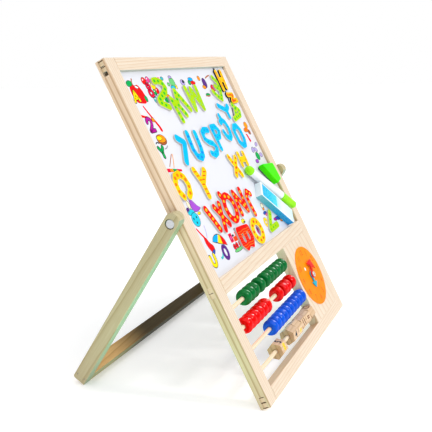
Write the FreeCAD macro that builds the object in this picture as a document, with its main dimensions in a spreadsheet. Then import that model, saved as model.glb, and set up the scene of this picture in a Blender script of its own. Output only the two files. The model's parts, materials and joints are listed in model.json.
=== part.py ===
import FreeCAD, Part
import math
import os
import Sketcher

# Children's double-sided desk easel: a wooden frame with a magnetic whiteboard in
# front and a chalkboard behind, an abacus and a teaching clock below it, and a
# two-legged stand that swings on bolts at mid height.
# Board frame used for all sizes: x across from the left edge, y back from the
# front face, z up the board from its bottom edge.  The board then leans back.

V = FreeCAD.Vector
doc = FreeCAD.newDocument("KidsEasel")
sheet = doc.addObject("Spreadsheet::Sheet", "Sheet")

SIZES = [
    ("frame_width", 325.0, "overall width of the board"),
    ("frame_height", 400.0, "length of the stiles"),
    ("frame_depth", 13.0, "thickness of the frame"),
    ("stile_width", 19.0, "face width of a stile"),
    ("top_low", 385.0, "underside of the top rail"),
    ("mid_low", 124.0, "underside of the middle rail"),
    ("mid_high", 142.0, "top of the middle rail"),
    ("base_high", 15.5, "top of the bottom rail"),
    ("edge_round", 1.0, "softened long edges"),
    ("lean", 26.2, "lean of the board from vertical, degrees"),
    ("origin_shift_y", -117.32, "front bottom edge from the row origin"),
    ("origin_shift_z", 5.74, "front bottom edge above the floor"),
    ("groove_front", 4.5, "front wall of the panel groove"),
    ("groove_width", 3.6, "width of the panel groove"),
    ("groove_deep", 4.0, "depth of the panel groove"),
    ("white_thick", 1.6, "whiteboard sheet"),
    ("chalk_thick", 1.8, "chalkboard sheet"),
    ("tenon_thick", 5.4, "thickness of the twin tenons"),
    ("tenon_front", 3.8, "front of the twin tenons"),
    ("tenon_tall", 5.6, "height of one tenon"),
    ("joint_gap", 0.1, "glue gap round a tenon"),
    ("panel_left", 212.5, "left face of the clock panel"),
    ("rod_radius", 2.5, "abacus rod"),
    ("rod_socket", 7.0, "depth of a rod's socket"),
    ("rod_low", 33.5, "height of the lowest rod"),
    ("rod_step", 24.4, "spacing of the rods"),
    ("bead_long", 12.3, "length of a bead along its rod"),
    ("bead_step", 12.6, "spacing of touching beads"),
    ("bead_radius", 9.5, "outside radius of a bead"),
    ("bead_flat", 6.9, "radius of a bead's end face"),
    ("bead_hole", 2.85, "radius of a bead's hole"),
    ("block_long", 18.1, "length of a number block"),
    ("block_step", 18.4, "spacing of the number blocks"),
    ("block_radius", 10.3, "corner radius of a hexagonal block"),
    ("dial_radius", 41.4, "clock dial"),
    ("dial_thick", 0.8, "clock dial"),
    ("dial_x", 259.2, "clock centre across"),
    ("dial_z", 69.8, "clock centre up"),
    ("pin_radius", 1.8, "clock pin"),
    ("hand_thick", 1.2, "clock hands"),
    ("hand_hub", 5.0, "hub radius of the hands"),
    ("pivot_z", 216.6, "height of the stand's pivot up the board"),
    ("pivot_radius", 2.5, "pivot bolt shank"),
    ("leg_gap", 2.0, "gap between leg and stile"),
    ("leg_over", 4.5, "straight length of a leg above its pivot"),
    ("leg_thick", 13.2, "leg across the board"),
    ("leg_wide", 16.3, "leg from front to back"),
    ("leg_long", 230.6, "pivot to the end of the leg"),
    ("leg_angle", 33.3, "leg from vertical, degrees"),
    ("bar_thick", 12.0, "crossbar along the leg"),
    ("letter_thick", 2.4, "magnetic letters"),
    ("marker_radius", 5.9, "marker"),
    ("marker_long", 115.0, "marker with its cap on"),
    ("eraser_grip", 7.6, "green block of the eraser"),
    ("eraser_felt", 2.2, "felt of the eraser"),
    ("carton_long", 83.0, "chalk carton"),
    ("carton_wide", 22.0, "chalk carton"),
    ("carton_tall", 9.6, "chalk carton"),
]
value = {}
for line, (word, number, note) in enumerate(SIZES, start=1):
    sheet.set("A%d" % line, word)
    sheet.set("B%d" % line, str(number))
    sheet.set("C%d" % line, note)
    sheet.setAlias("B%d" % line, word)
    value[word] = number
doc.recompute()


class Size:
    """A number that carries its spreadsheet expression along."""

    def __init__(self, v, text):
        self.v = float(v)
        self.text = text

    def other(self, o):
        return o if isinstance(o, Size) else Size(o, repr(float(o)))

    def __add__(self, o):
        o = self.other(o)
        return Size(self.v + o.v, "(%s + %s)" % (self.text, o.text))

    def __radd__(self, o):
        return self.other(o) + self

    def __sub__(self, o):
        o = self.other(o)
        return Size(self.v - o.v, "(%s - %s)" % (self.text, o.text))

    def __rsub__(self, o):
        return self.other(o) - self

    def __mul__(self, o):
        o = self.other(o)
        return Size(self.v * o.v, "(%s * %s)" % (self.text, o.text))

    def __rmul__(self, o):
        return self.other(o) * self

    def __truediv__(self, o):
        o = self.other(o)
        return Size(self.v / o.v, "(%s / %s)" % (self.text, o.text))


def S(word):
    return Size(value[word], "Sheet." + word)


def num(x):
    return x.v if isinstance(x, Size) else float(x)


def bind(obj, prop, x):
    if isinstance(x, Size):
        obj.setExpression(prop, x.text)


W, H, T = S("frame_width"), S("frame_height"), S("frame_depth")
SW = S("stile_width")
LEAN = math.radians(value["lean"])
BOARD = FreeCAD.Placement(V(-W.v / 2, value["origin_shift_y"], value["origin_shift_z"]),
                          FreeCAD.Rotation(V(1, 0, 0), -value["lean"]))
nodes = []


def move(x, y, z, axis=(0, 1, 0), angle=0.0):
    return FreeCAD.Placement(V(num(x), num(y), num(z)), FreeCAD.Rotation(V(*axis), angle))


def new_body(name, spot=None):
    b = doc.addObject("PartDesign::Body", name)
    b.Label = name
    if hasattr(b, "AllowCompound"):
        b.AllowCompound = True
    b.Placement = BOARD if spot is None else spot
    if spot is None:
        b.setExpression("Placement.Base.x", "-Sheet.frame_width / 2")
        b.setExpression("Placement.Base.y", "Sheet.origin_shift_y")
        b.setExpression("Placement.Base.z", "Sheet.origin_shift_z")
    nodes.append(b)
    return b


def plane(body, role):
    for f in body.Origin.OriginFeatures:
        if f.Role == role:
            return f
    raise RuntimeError(role)


count = [0]


def new_sketch(body, role, shift=0.0):
    count[0] += 1
    sk = body.newObject("Sketcher::SketchObject", "%s_s%d" % (body.Name, count[0]))
    sk.AttachmentSupport = [(plane(body, role), "")]
    sk.MapMode = "FlatFace"
    sk.AttachmentOffset = FreeCAD.Placement(V(0, 0, num(shift)), FreeCAD.Rotation())
    bind(sk, "AttachmentOffset.Base.z", shift)
    return sk


def pin_point(sk, geo, pos, x, y):
    if abs(num(x)) < 1e-9:
        sk.addConstraint(Sketcher.Constraint("PointOnObject", geo, pos, -2))
    else:
        c = sk.addConstraint(Sketcher.Constraint("DistanceX", -1, 1, geo, pos, num(x)))
        bind(sk, "Constraints[%d]" % c, x)
    if abs(num(y)) < 1e-9:
        sk.addConstraint(Sketcher.Constraint("PointOnObject", geo, pos, -1))
    else:
        c = sk.addConstraint(Sketcher.Constraint("DistanceY", -1, 1, geo, pos, num(y)))
        bind(sk, "Constraints[%d]" % c, y)


def draw_poly(sk, pts):
    n = len(pts)
    first = sk.GeometryCount
    for i in range(n):
        a, b = pts[i], pts[(i + 1) % n]
        sk.addGeometry(Part.LineSegment(V(num(a[0]), num(a[1]), 0), V(num(b[0]), num(b[1]), 0)), False)
    for i in range(n):
        sk.addConstraint(Sketcher.Constraint("Coincident", first + i, 2, first + (i + 1) % n, 1))
    for i in range(n):
        pin_point(sk, first + i, 1, *pts[i])


def draw_rect(sk, x0, y0, x1, y1):
    draw_poly(sk, [(x0, y0), (x1, y0), (x1, y1), (x0, y1)])


def draw_circle(sk, x, y, r):
    g = sk.addGeometry(Part.Circle(V(num(x), num(y), 0), V(0, 0, 1), num(r)), False)
    pin_point(sk, g, 3, x, y)
    c = sk.addConstraint(Sketcher.Constraint("Radius", g, num(r)))
    bind(sk, "Constraints[%d]" % c, r)


def pad(body, sk, length, flip=False):
    p = body.newObject("PartDesign::Pad", sk.Name + "_pad")
    p.Profile = sk
    p.Length = num(length)
    bind(p, "Length", length)
    p.Reversed = flip
    sk.Visibility = False
    doc.recompute()
    return p


def pocket(body, sk, length, flip=True):
    before = body.Tip.Shape.Volume
    p = body.newObject("PartDesign::Pocket", sk.Name + "_cut")
    p.Profile = sk
    p.Length = num(length)
    bind(p, "Length", length)
    p.Reversed = flip
    doc.recompute()
    if before - p.Shape.Volume < 1e-3:
        raise RuntimeError("pocket removed nothing in " + body.Name)
    return p


def pad_box(body, x0, x1, y0, y1, z0, z1):
    sk = new_sketch(body, "XY_Plane", z0)
    draw_rect(sk, x0, y0, x1, y1)
    return pad(body, sk, z1 - z0)


def cut_box(body, x0, x1, y0, y1, z0, z1):
    sk = new_sketch(body, "XY_Plane", z0)
    draw_rect(sk, x0, y0, x1, y1)
    return pocket(body, sk, z1 - z0)


def pad_cyl_x(body, x0, x1, y, z, r):
    sk = new_sketch(body, "YZ_Plane", x0)
    draw_circle(sk, y, z, r)
    return pad(body, sk, x1 - x0)


def cut_cyl_x(body, x0, x1, y, z, r):
    sk = new_sketch(body, "YZ_Plane", x0)
    draw_circle(sk, y, z, r)
    return pocket(body, sk, x1 - x0)


def pad_cyl_y(body, y0, y1, x, z, r):
    sk = new_sketch(body, "XZ_Plane", (0.0 - y0) if isinstance(y0, Size) else -y0)
    draw_circle(sk, x, z, r)
    return pad(body, sk, y1 - y0, True)


def cut_cyl_y(body, y0, y1, x, z, r):
    sk = new_sketch(body, "XZ_Plane", (0.0 - y0) if isinstance(y0, Size) else -y0)
    draw_circle(sk, x, z, r)
    return pocket(body, sk, y1 - y0, False)


def revolve(body, pts):
    """Profile x along the axis and y the radius, turned about the X axis."""
    sk = new_sketch(body, "XY_Plane")
    draw_poly(sk, pts)
    r = body.newObject("PartDesign::Revolution", sk.Name + "_turn")
    r.Profile = sk
    r.ReferenceAxis = (sk, ["H_Axis"])
    r.Angle = 360.0
    doc.recompute()
    return r


def round_edges(body, radius, test):
    tip = body.Tip
    names = ["Edge%d" % (i + 1) for i, e in enumerate(tip.Shape.Edges) if test(e)]
    f = body.newObject("PartDesign::Fillet", body.Name + "_round")
    f.Base = (tip, names)
    f.Radius = num(radius)
    bind(f, "Radius", radius)
    doc.recompute()
    return f


def along(direction):
    d = V(*direction)

    def test(e):
        if len(e.Vertexes) != 2 or not isinstance(e.Curve, Part.Line):
            return False
        u = e.Vertexes[1].Point - e.Vertexes[0].Point
        return abs(u.normalize().dot(d)) > 0.999

    return test


# ------------------------------------------------------------------ wooden frame
gap = S("joint_gap")
ty0 = S("tenon_front")
ty1 = ty0 + S("tenon_thick")
tall = S("tenon_tall")
gy0 = S("groove_front")
gy1 = gy0 + S("groove_width")
gd = S("groove_deep")
PZ = S("pivot_z")
HALF = T / 2

# heights of the tenon pairs: bottom rail, middle rail, top rail
TENONS = [
    [Size(1.2, "1.2"), 1.9 + tall],
    [S("mid_low") + 3.0, S("mid_low") + 3.7 + tall],
    [H - 1.2 - tall - 0.7 - tall, H - 1.2 - tall],
]
# the top mortise runs on below its tenons and shows as a dark slot
SLOT = 4.6


def stile(name, left):
    b = new_body(name)
    x0, x1 = (0.0, SW) if left else (W - SW, W)
    if left:
        pad_box(b, 0.0, SW, 0.0, T, 0.0, H)
    else:
        pad_box(b, x0, x1, 0.0, T, 0.0, H)
    round_edges(b, S("edge_round"), lambda e: along((0, 0, 1))(e) or along((1, 0, 0))(e))
    for k, pair in enumerate(TENONS):
        low = pair[0] - gap
        if k == 2:
            low = low - SLOT
        high = pair[1] + tall + gap
        cut_box(b, x0 if not left else 0.0, x1, ty0 - gap, ty1 + gap, low, high)
    gx0, gx1 = (SW - gd, SW) if left else (W - SW, W - SW + gd)
    cut_box(b, gx0, gx1, gy0, gy1, S("mid_high") - gd, S("top_low") + gd)
    sock = S("rod_socket")
    if left:
        for k in range(4):
            cut_cyl_x(b, SW - sock, SW, HALF, S("rod_low") + S("rod_step") * k, S("rod_radius") + 0.05)
        cut_cyl_x(b, 0.0 * SW, 13.0 + 0.0 * SW, HALF, PZ, Size(4.05, "4.05"))
    else:
        cut_cyl_x(b, W - 13.0, W, HALF, PZ, Size(4.05, "4.05"))
    return b


stile("left_stile", True)
stile("right_stile", False)


def rail(name, z0, z1, pair, grooves):
    b = new_body(name)
    pad_box(b, SW, W - SW, 0.0, T, z0, z1)
    round_edges(b, 0.6, along((1, 0, 0)))
    for z in pair:
        pad_box(b, 0.3, SW, ty0, ty1, z, z + tall)
        pad_box(b, W - SW, W - 0.3, ty0, ty1, z, z + tall)
    for g0, g1 in grooves:
        cut_box(b, SW, W - SW, gy0, gy1, g0, g1)
    return b


rail("bottom_rail", 0.0, S("base_high"), TENONS[0], [])
rail("middle_rail", S("mid_low"), S("mid_high"), TENONS[1], [(S("mid_high") - gd, S("mid_high"))])
rail("top_rail", S("top_low"), H, TENONS[2], [(S("top_low"), S("top_low") + gd)])

# ------------------------------------------------------------------ the two boards
for name, y0, thick in (("whiteboard_panel", gy0 + 0.05, S("white_thick")),
                        ("chalkboard_panel", gy0 + 0.1 + S("white_thick"), S("chalk_thick"))):
    b = new_body(name)
    pad_box(b, SW - gd + 0.3, W - SW + gd - 0.3, y0, y0 + thick,
            S("mid_high") - gd + 1.1, S("top_low") + gd - 2.3)

# ------------------------------------------------------------------ clock
PL = S("panel_left")
b = new_body("clock_panel")
pad_box(b, PL, W - SW, 0.0, T, S("base_high"), S("mid_low"))
round_edges(b, 0.5, lambda e: along((0, 0, 1))(e) and abs(e.Vertexes[0].Point.x - PL.v) < 0.01)
for k in range(4):
    cut_cyl_x(b, PL, PL + S("rod_socket"), HALF, S("rod_low") + S("rod_step") * k, S("rod_radius") + 0.05)
cut_cyl_y(b, 0.0 * T, 9.0 + 0.0 * T, S("dial_x"), S("dial_z"), S("pin_radius") + 0.05)

b = new_body("clock_dial")
pad_cyl_y(b, -1.0 * S("dial_thick"), 0.0 * T, S("dial_x"), S("dial_z"), S("dial_radius"))
cut_cyl_y(b, -1.0 * S("dial_thick"), 0.0 * T, S("dial_x"), S("dial_z"), S("pin_radius") + 0.05)


def hand(name, front, length, wide, angle):
    """A flat hand with a round hub; its own origin is 20 mm below and left of the hub."""
    c = 20.0
    spot = BOARD.multiply(move(S("dial_x"), front, S("dial_z"), (0, 1, 0), angle)).multiply(move(-c, 0, -c))
    b = new_body(name, spot)
    th = S("hand_thick")
    pad_cyl_y(b, 0.0 * th, th, c, c, S("hand_hub"))
    sk = new_sketch(b, "XZ_Plane")
    draw_poly(sk, [(c - 2.4, c + 2.0), (c + 2.4, c + 2.0), (c + 2.0, c + length * 0.55),
                   (c + wide / 2, c + length * 0.55), (c, c + length),
                   (c - wide / 2, c + length * 0.55), (c - 2.0, c + length * 0.55)])
    pad(b, sk, th, True)
    cut_cyl_y(b, 0.0 * th, th, c, c, S("pin_radius") + 0.05)
    return b


hand("hour_hand", -0.8 - 0.5 - 1.2, 18.0, 17.0, 188.0)
hand("minute_hand", -0.8 - 0.5 - 1.2 - 0.5 - 1.2, 23.0, 26.0, 32.0)
b = new_body("clock_pin")
pad_cyl_y(b, -4.6 + 0.0 * T, 8.8 + 0.0 * T, S("dial_x"), S("dial_z"), S("pin_radius"))
pad_cyl_y(b, -6.2 + 0.0 * T, -4.6 + 0.0 * T, S("dial_x"), S("dial_z"), Size(3.6, "3.6"))
round_edges(b, 0.9, lambda e: len(e.Vertexes) == 1 and abs(e.Vertexes[0].Point.y + 6.2) < 0.01)

# ------------------------------------------------------------------ abacus
for k in range(4):
    b = new_body("rod_%d" % (4 - k))
    pad_cyl_x(b, SW - S("rod_socket") + 0.3, PL + S("rod_socket") - 0.3, HALF,
              S("rod_low") + S("rod_step") * k, S("rod_radius"))

BL, BR, BF = S("bead_long"), S("bead_radius"), S("bead_flat")
RHO = ((BL / 2) * (BL / 2) + (BR - BF) * (BR - BF)) / (2.0 * (BR - BF))


def beads(name, rod, first, number):
    """A row of turned wooden beads; first is the centre of the leftmost bead."""
    z = value["rod_low"] + value["rod_step"] * (4 - rod)
    b = new_body(name, BOARD.multiply(move(first - BL.v / 2, HALF, z)))
    sk = new_sketch(b, "XY_Plane")
    hole, flat, long = S("bead_hole"), BF, BL
    r = RHO.v
    c = BR.v - r
    a = math.atan2(flat.v - c, long.v / 2)
    sk.addGeometry(Part.LineSegment(V(0, hole.v, 0), V(0, flat.v, 0)), False)
    sk.addGeometry(Part.ArcOfCircle(Part.Circle(V(long.v / 2, c, 0), V(0, 0, 1), r), a, math.pi - a), False)
    sk.addGeometry(Part.LineSegment(V(long.v, flat.v, 0), V(long.v, hole.v, 0)), False)
    sk.addGeometry(Part.LineSegment(V(long.v, hole.v, 0), V(0, hole.v, 0)), False)
    sk.addConstraint(Sketcher.Constraint("Coincident", 0, 2, 1, 2))
    sk.addConstraint(Sketcher.Constraint("Coincident", 1, 1, 2, 1))
    sk.addConstraint(Sketcher.Constraint("Coincident", 2, 2, 3, 1))
    sk.addConstraint(Sketcher.Constraint("Coincident", 3, 2, 0, 1))
    pin_point(sk, 0, 1, 0.0, hole)
    pin_point(sk, 0, 2, 0.0, flat)
    pin_point(sk, 2, 1, long, flat)
    pin_point(sk, 2, 2, long, hole)
    q = sk.addConstraint(Sketcher.Constraint("Radius", 1, r))
    bind(sk, "Constraints[%d]" % q, RHO)
    t = b.newObject("PartDesign::Revolution", name + "_turn")
    t.Profile = sk
    t.ReferenceAxis = (sk, ["H_Axis"])
    t.Angle = 360.0
    doc.recompute()
    if number > 1:
        p = b.newObject("PartDesign::LinearPattern", name + "_row")
        p.Originals = [t]
        p.Direction = (sk, ["H_Axis"])
        p.Length = value["bead_step"] * (number - 1)
        p.setExpression("Length", "Sheet.bead_step * %d" % (number - 1))
        p.Occurrences = number
        b.Tip = p
        doc.recompute()
    return b


beads("green_beads_left", 1, 64.5, 3)
beads("green_bead_middle", 1, 110.0, 1)
beads("green_beads_right", 1, 130.3, 6)
beads("red_beads_left", 2, 37.8, 6)
beads("red_bead_middle", 2, 145.5, 1)
beads("red_beads_pair", 2, 164.7, 2)
beads("red_bead_right", 2, 196.4, 1)
beads("blue_beads", 3, 92.5, 10)


def number_block(name, start, turn):
    """A hexagonal block bored along its length, turned about its rod."""
    c = 12.0
    R = S("block_radius")
    spot = BOARD.multiply(move(start, HALF, S("rod_low"), (1, 0, 0), turn)).multiply(move(0, -c, -c))
    b = new_body(name, spot)
    sk = new_sketch(b, "YZ_Plane")
    draw_poly(sk, [(c + R * math.sin(math.radians(a)), c + R * math.cos(math.radians(a)))
                   for a in (0, 60, 120, 180, 240, 300)])
    pad(b, sk, S("block_long"))
    round_edges(b, 0.7, lambda e: True)
    cut_cyl_x(b, 0.0 * R, S("block_long"), c, c, S("bead_hole"))
    return b


number_block("number_block_1", 75.5, 0.0)
for k, turn in enumerate((14.0, 22.0, 0.0, 3.0, -9.0)):
    number_block("number_block_%d" % (k + 2), 120.2 + value["block_step"] * k, turn)

# ------------------------------------------------------------------ stand
LT, LW, LL = S("leg_thick"), S("leg_wide"), S("leg_long")
LG = S("leg_gap")
PR = S("pivot_radius")
# leg frame: x as the board, y across the leg from its front face, z up along the
# leg with the pivot at the height of the leg's own length
pivot = BOARD.multVec(V(0, T.v / 2, PZ.v))
LEG = FreeCAD.Placement(pivot, FreeCAD.Rotation(V(1, 0, 0), value["leg_angle"])).multiply(
    move(0, -LW.v / 2, -LL.v))


# two nails through each leg into the end of the crossbar, side by side
NAILS = ((LW - 13.3, 7.4 + 0.0 * LL), (LW - 3.3, 7.4 + 0.0 * LL))


LO = S("leg_over")


def leg(name, left):
    b = new_body(name, LEG)
    spot = -LG.v - LT.v if left else W.v + LG.v
    sk = new_sketch(b, "YZ_Plane", (0.0 - LG - LT) if left else (W + LG))
    draw_rect(sk, 0.0, 0.0, LW, LL + LO)
    pad(b, sk, LT)
    sk = new_sketch(b, "YZ_Plane", (0.0 - LG - LT) if left else (W + LG))
    draw_circle(sk, LW / 2, LL + LO, LW / 2)
    pad(b, sk, LT)
    round_edges(b, 3.0, lambda e: along((1, 0, 0))(e) and abs(e.Vertexes[0].Point.z) < 0.01
                and e.Vertexes[0].Point.y > LW.v / 2)
    outer = spot if left else spot + LT.v
    round_edges(b, 0.8, lambda e: all(abs(p.Point.x - outer) < 0.01 for p in e.Vertexes) and len(e.Vertexes) > 1)
    if left:
        cut_cyl_x(b, 0.0 - LG - LT, 0.0 - LG, LW / 2, LL, PR + 0.05)
        cut_cyl_x(b, 0.0 - LG - LT, 3.2 - LG - LT, LW / 2, LL, Size(5.6, "5.6"))
    else:
        cut_cyl_x(b, W + LG, W + LG + LT, LW / 2, LL, PR + 0.05)
        cut_cyl_x(b, W + LG + LT - 3.2, W + LG + LT, LW / 2, LL, Size(5.6, "5.6"))
    for y, z in NAILS:
        if left:
            cut_cyl_x(b, 0.0 - LG - LT, 0.0 - LG, y, z, Size(0.95, "0.95"))
        else:
            cut_cyl_x(b, W + LG, W + LG + LT, y, z, Size(0.95, "0.95"))
    return b


leg("left_leg", True)
leg("right_leg", False)
BT = S("bar_thick")
b = new_body("cross_bar", LEG)
pad_box(b, 0.0 - LG, W + LG, 0.0, LW, 0.0 * BT, BT)
round_edges(b, 0.6, along((1, 0, 0)))
for y, z in NAILS:
    cut_cyl_x(b, 0.0 - LG, 12.0 - LG, y, z, Size(0.95, "0.95"))
    cut_cyl_x(b, W + LG - 12.0, W + LG, y, z, Size(0.95, "0.95"))
b = new_body("cross_bar_nails", LEG)
for y, z in NAILS:
    pad_cyl_x(b, 0.4 - LG - LT, 11.0 - LG, y, z, Size(0.9, "0.9"))
    pad_cyl_x(b, W + LG - 11.0, W + LG + LT - 0.4, y, z, Size(0.9, "0.9"))

# pivot hardware: a flat-headed bolt each side, screwed into an insert in the stile
for name, left in (("pivot_bolt_left", True), ("pivot_bolt_right", False)):
    b = new_body(name)
    if left:
        pad_cyl_x(b, 0.9 - LG - LT, 3.0 - LG - LT, HALF, PZ, Size(5.0, "5.0"))
        pad_cyl_x(b, 3.0 - LG - LT, 12.0 + 0.0 * LG, HALF, PZ, PR)
    else:
        pad_cyl_x(b, W + LG + LT - 3.0, W + LG + LT - 0.9, HALF, PZ, Size(5.0, "5.0"))
        pad_cyl_x(b, W - 12.0, W + LG + LT - 3.0, HALF, PZ, PR)
    outer = 0.9 - LG.v - LT.v if left else W.v + LG.v + LT.v - 0.9
    round_edges(b, 0.7, lambda e: len(e.Vertexes) == 1 and abs(e.Vertexes[0].Point.x - outer) < 0.01)
b = new_body("pivot_inserts")
pad_cyl_x(b, 0.3 + 0.0 * W, 12.7 + 0.0 * W, HALF, PZ, Size(4.0, "4.0"))
cut_cyl_x(b, 0.3 + 0.0 * W, 12.7 + 0.0 * W, HALF, PZ, PR + 0.05)
pad_cyl_x(b, W - 12.7, W - 0.3, HALF, PZ, Size(4.0, "4.0"))
cut_cyl_x(b, W - 12.7, W - 0.3, HALF, PZ, PR + 0.05)
b = new_body("pivot_washers")
pad_cyl_x(b, 0.15 - LG, -0.15 + 0.0 * LG, HALF, PZ, Size(6.5, "6.5"))
cut_cyl_x(b, 0.15 - LG, -0.15 + 0.0 * LG, HALF, PZ, PR + 0.05)
pad_cyl_x(b, W + 0.15, W + LG - 0.15, HALF, PZ, Size(6.5, "6.5"))
cut_cyl_x(b, W + 0.15, W + LG - 0.15, HALF, PZ, PR + 0.05)

# ------------------------------------------------------------------ magnetic letters
FACE = num(gy0) + 0.05  # front of the whiteboard sheet


def ring(cx, cz, rx, rz):
    return [(cx + rx * math.cos(math.radians(a)), cz + rz * math.sin(math.radians(a)))
            for a in range(0, 361, 20)]


LETTERS = {
    "lime_magnets_left": [
        (4.4, [(84, 371), (92, 371.5), (101, 368.5), (104, 363), (100, 357.5), (90, 353), (77, 347),
               (76.5, 345), (93, 338)]),
        (4.2, [(110, 319.5), (105.5, 347), (117, 338.5), (123.5, 356.5), (142, 331.5)],
              [(117, 338.5), (125.5, 325.5)]),
        (4.2, [(154, 358.5), (156.5, 330), (168, 357), (180.5, 330), (184, 358.5)]),
    ],
    "lime_magnets_right": [
        (3.9, [(250, 370), (257.5, 363.5), (256.5, 350.5), (248.5, 338), (240, 342), (231, 350)],
              [(256.5, 350.5), (246, 357)]),
        (4.0, [(272.5, 327.5), (288, 318), (283.5, 311.5), (259, 307.5)], [(269, 309.5), (278, 324)]),
    ],
    "lime_magnet_bottom": [(4.3, [(229, 173), (208.5, 153), (236, 154)])],
    "cyan_magnets_left": [
        (4.7, [(75.5, 300.5), (87.5, 293.5), (72, 271.5)]),
        (4.6, [(104, 303), (101, 283), (104.5, 273.5), (111.5, 270.8), (118.5, 274), (122, 283), (124, 301)]),
        (4.2, [(161, 301.5), (151, 302.5), (143.5, 299), (142.5, 291.5), (149, 286.5), (159.5, 283),
               (163.5, 277), (159, 271), (150, 269), (143.5, 272)]),
        (4.2, [(175.5, 274.5), (174.5, 303.5), (186.5, 303.5), (191.5, 297), (186.5, 290), (175, 288.5)]),
    ],
    "cyan_magnets_right": [
        (4.2, [(206, 293.5), (209, 286.5), (216, 283.5), (222.5, 287.5), (225, 297), (222.5, 306),
               (215.5, 310.5), (208.5, 307)], [(215.5, 310.5), (214, 316)]),
        (4.1, [(226, 329.5), (245.5, 321.5), (246, 312.5)], [(245.5, 321.5), (255, 327)]),
        (4.5, [(238.5, 292), (245, 297.5), (254, 297.5), (259, 291), (259.5, 278), (254.5, 270),
               (246, 269.5), (239.5, 275.5), (238.5, 292)]),
    ],
    "yellow_magnets_left": [
        (4.6, [(31, 236.5), (26, 243.5), (26.2, 253), (32, 260), (42, 261.3), (49.5, 256), (52, 247),
               (48.5, 238.5), (43, 235.3)]),
        (4.8, [(79, 259.5), (86, 243), (86.5, 226.5)], [(103, 255.5), (86.5, 242)]),
    ],
    "yellow_magnets_middle": [
        (4.2, [(184, 261), (199.5, 233.5)], [(203, 257.5), (182.5, 236)]),
        (4.1, [(216, 260.5), (214.5, 245.5)], [(233, 259.5), (232, 244.5)], [(215, 252.5), (232.5, 251.5)]),
    ],
    "yellow_magnet_ring": [(4.9, ring(168.3, 161.6, 12.6, 12.9))],
    "yellow_magnets_right": [
        (3.8, [(270, 377.5), (269.5, 352)], [(285.5, 377.5), (283, 354)], [(270, 366), (284, 366)]),
        (3.8, [(274, 343), (290.5, 342), (281, 332.8), (297, 333.5)]),
    ],
    "red_magnets_left": [
        (4.6, [(63.5, 214), (70, 200), (75.5, 187)]),
        (4.3, [(85, 212), (103.5, 186.5)], [(100, 213), (88, 183.5)]),
        (4.6, ring(124.5, 202.8, 12.6, 15.8), [(116, 216), (112, 222.5)]),
    ],
    "red_magnets_right": [
        (4.2, [(147, 190), (148.5, 218), (168, 190.5), (169.5, 218)]),
        (4.1, [(183.5, 181.5), (181.5, 206), (188.5, 211.8), (196, 207)]),
    ],
    "red_magnet_block": [
        (4.6, [(115, 174.5), (129.5, 173.5), (143.5, 172), (144.5, 159), (138, 151.8), (130, 155.5),
               (121, 151.8), (114.5, 158), (115, 174.5)], [(129.5, 173.5), (130, 155.5)]),
    ],
}


def stroke_face(p, q, r):
    """A round-ended bar from p to q in the board's face plane."""
    a, c = V(p[0], 0, p[1]), V(q[0], 0, q[1])
    d = (c - a).normalize()
    n = V(-d.z, 0, d.x)
    t = d * r
    arcs = [Part.makeLine(a + n * r, c + n * r), Part.Arc(c + n * r, c + t, c - n * r).toShape(),
            Part.makeLine(c - n * r, a - n * r), Part.Arc(a - n * r, a - t, a + n * r).toShape()]
    return Part.Face(Part.Wire(arcs))


def letter_solid(spec, thick):
    r = spec[0]
    faces = []
    for line in spec[1:]:
        for p, q in zip(line[:-1], line[1:]):
            faces.append(stroke_face(p, q, r))
    flat = faces[0] if len(faces) == 1 else faces[0].multiFuse(faces[1:])
    flat = flat.removeSplitter()
    flat.translate(V(0, FACE - 0.02 - thick, 0))
    solid = flat.extrude(V(0, thick, 0))
    solids = solid.Solids
    if len(solids) != 1:
        solid = solids[0].multiFuse(solids[1:]).removeSplitter()
        solids = solid.Solids
    if len(solids) != 1:
        raise RuntimeError("letter is not one solid")
    return solids[0]


for name, specs in LETTERS.items():
    f = doc.addObject("Part::Feature", name)
    f.Label = name
    f.addProperty("App::PropertyLength", "Thickness", "Letter", "thickness of the letters")
    f.Thickness = value["letter_thick"]
    f.setExpression("Thickness", "Sheet.letter_thick")
    made = [letter_solid(s, value["letter_thick"]) for s in specs]
    f.Shape = made[0] if len(made) == 1 else Part.makeCompound(made)
    f.Placement = BOARD
    nodes.append(f)

# ------------------------------------------------------------------ marker, eraser, carton
MR, ML = S("marker_radius"), S("marker_long")
# the marker rests on its plug end and rises a little towards its cap, which clears the frame
MARKER = BOARD.multiply(move(214.0, FACE + 0.23 - MR.v, 238.9, (0, 1, 0), 41.0)).multiply(move(0, 0, 0, (0, 0, 1), -2.6))
b = new_body("marker_barrel", MARKER)
revolve(b, [(10.0 + 0 * ML, 0.0), (10.0 + 0 * ML, MR - 0.3), (ML - 34.0, MR - 0.3), (ML - 34.0, MR - 2.0),
            (ML - 21.0, MR - 2.2), (ML - 20.0, MR - 4.0), (ML - 20.0, 0.0)])
b = new_body("marker_nib", MARKER)
revolve(b, [(ML - 19.9, 0.0), (ML - 19.9, Size(1.9, "1.9")), (ML - 15.5, Size(1.6, "1.6")),
            (ML - 14.5, Size(0.8, "0.8")), (ML - 14.5, 0.0)])
b = new_body("marker_end_plug", MARKER)
revolve(b, [(0.0, 0.0), (0.0, MR - 4.2), (0.9 + 0 * ML, MR - 2.4), (2.6 + 0 * ML, MR - 0.9),
            (5.0 + 0 * ML, MR - 0.1), (9.9 + 0 * ML, MR), (9.9 + 0 * ML, 0.0)])
b = new_body("marker_cap", MARKER)
revolve(b, [(ML - 33.6, MR - 1.6), (ML - 33.6, MR), (ML - 3.5, MR - 0.4), (ML - 1.2, MR - 1.6), (ML, MR - 3.6),
            (ML, 0.0), (ML - 12.5, 0.0), (ML - 13.5, MR - 2.6), (ML - 20.0, MR - 1.6)])

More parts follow.
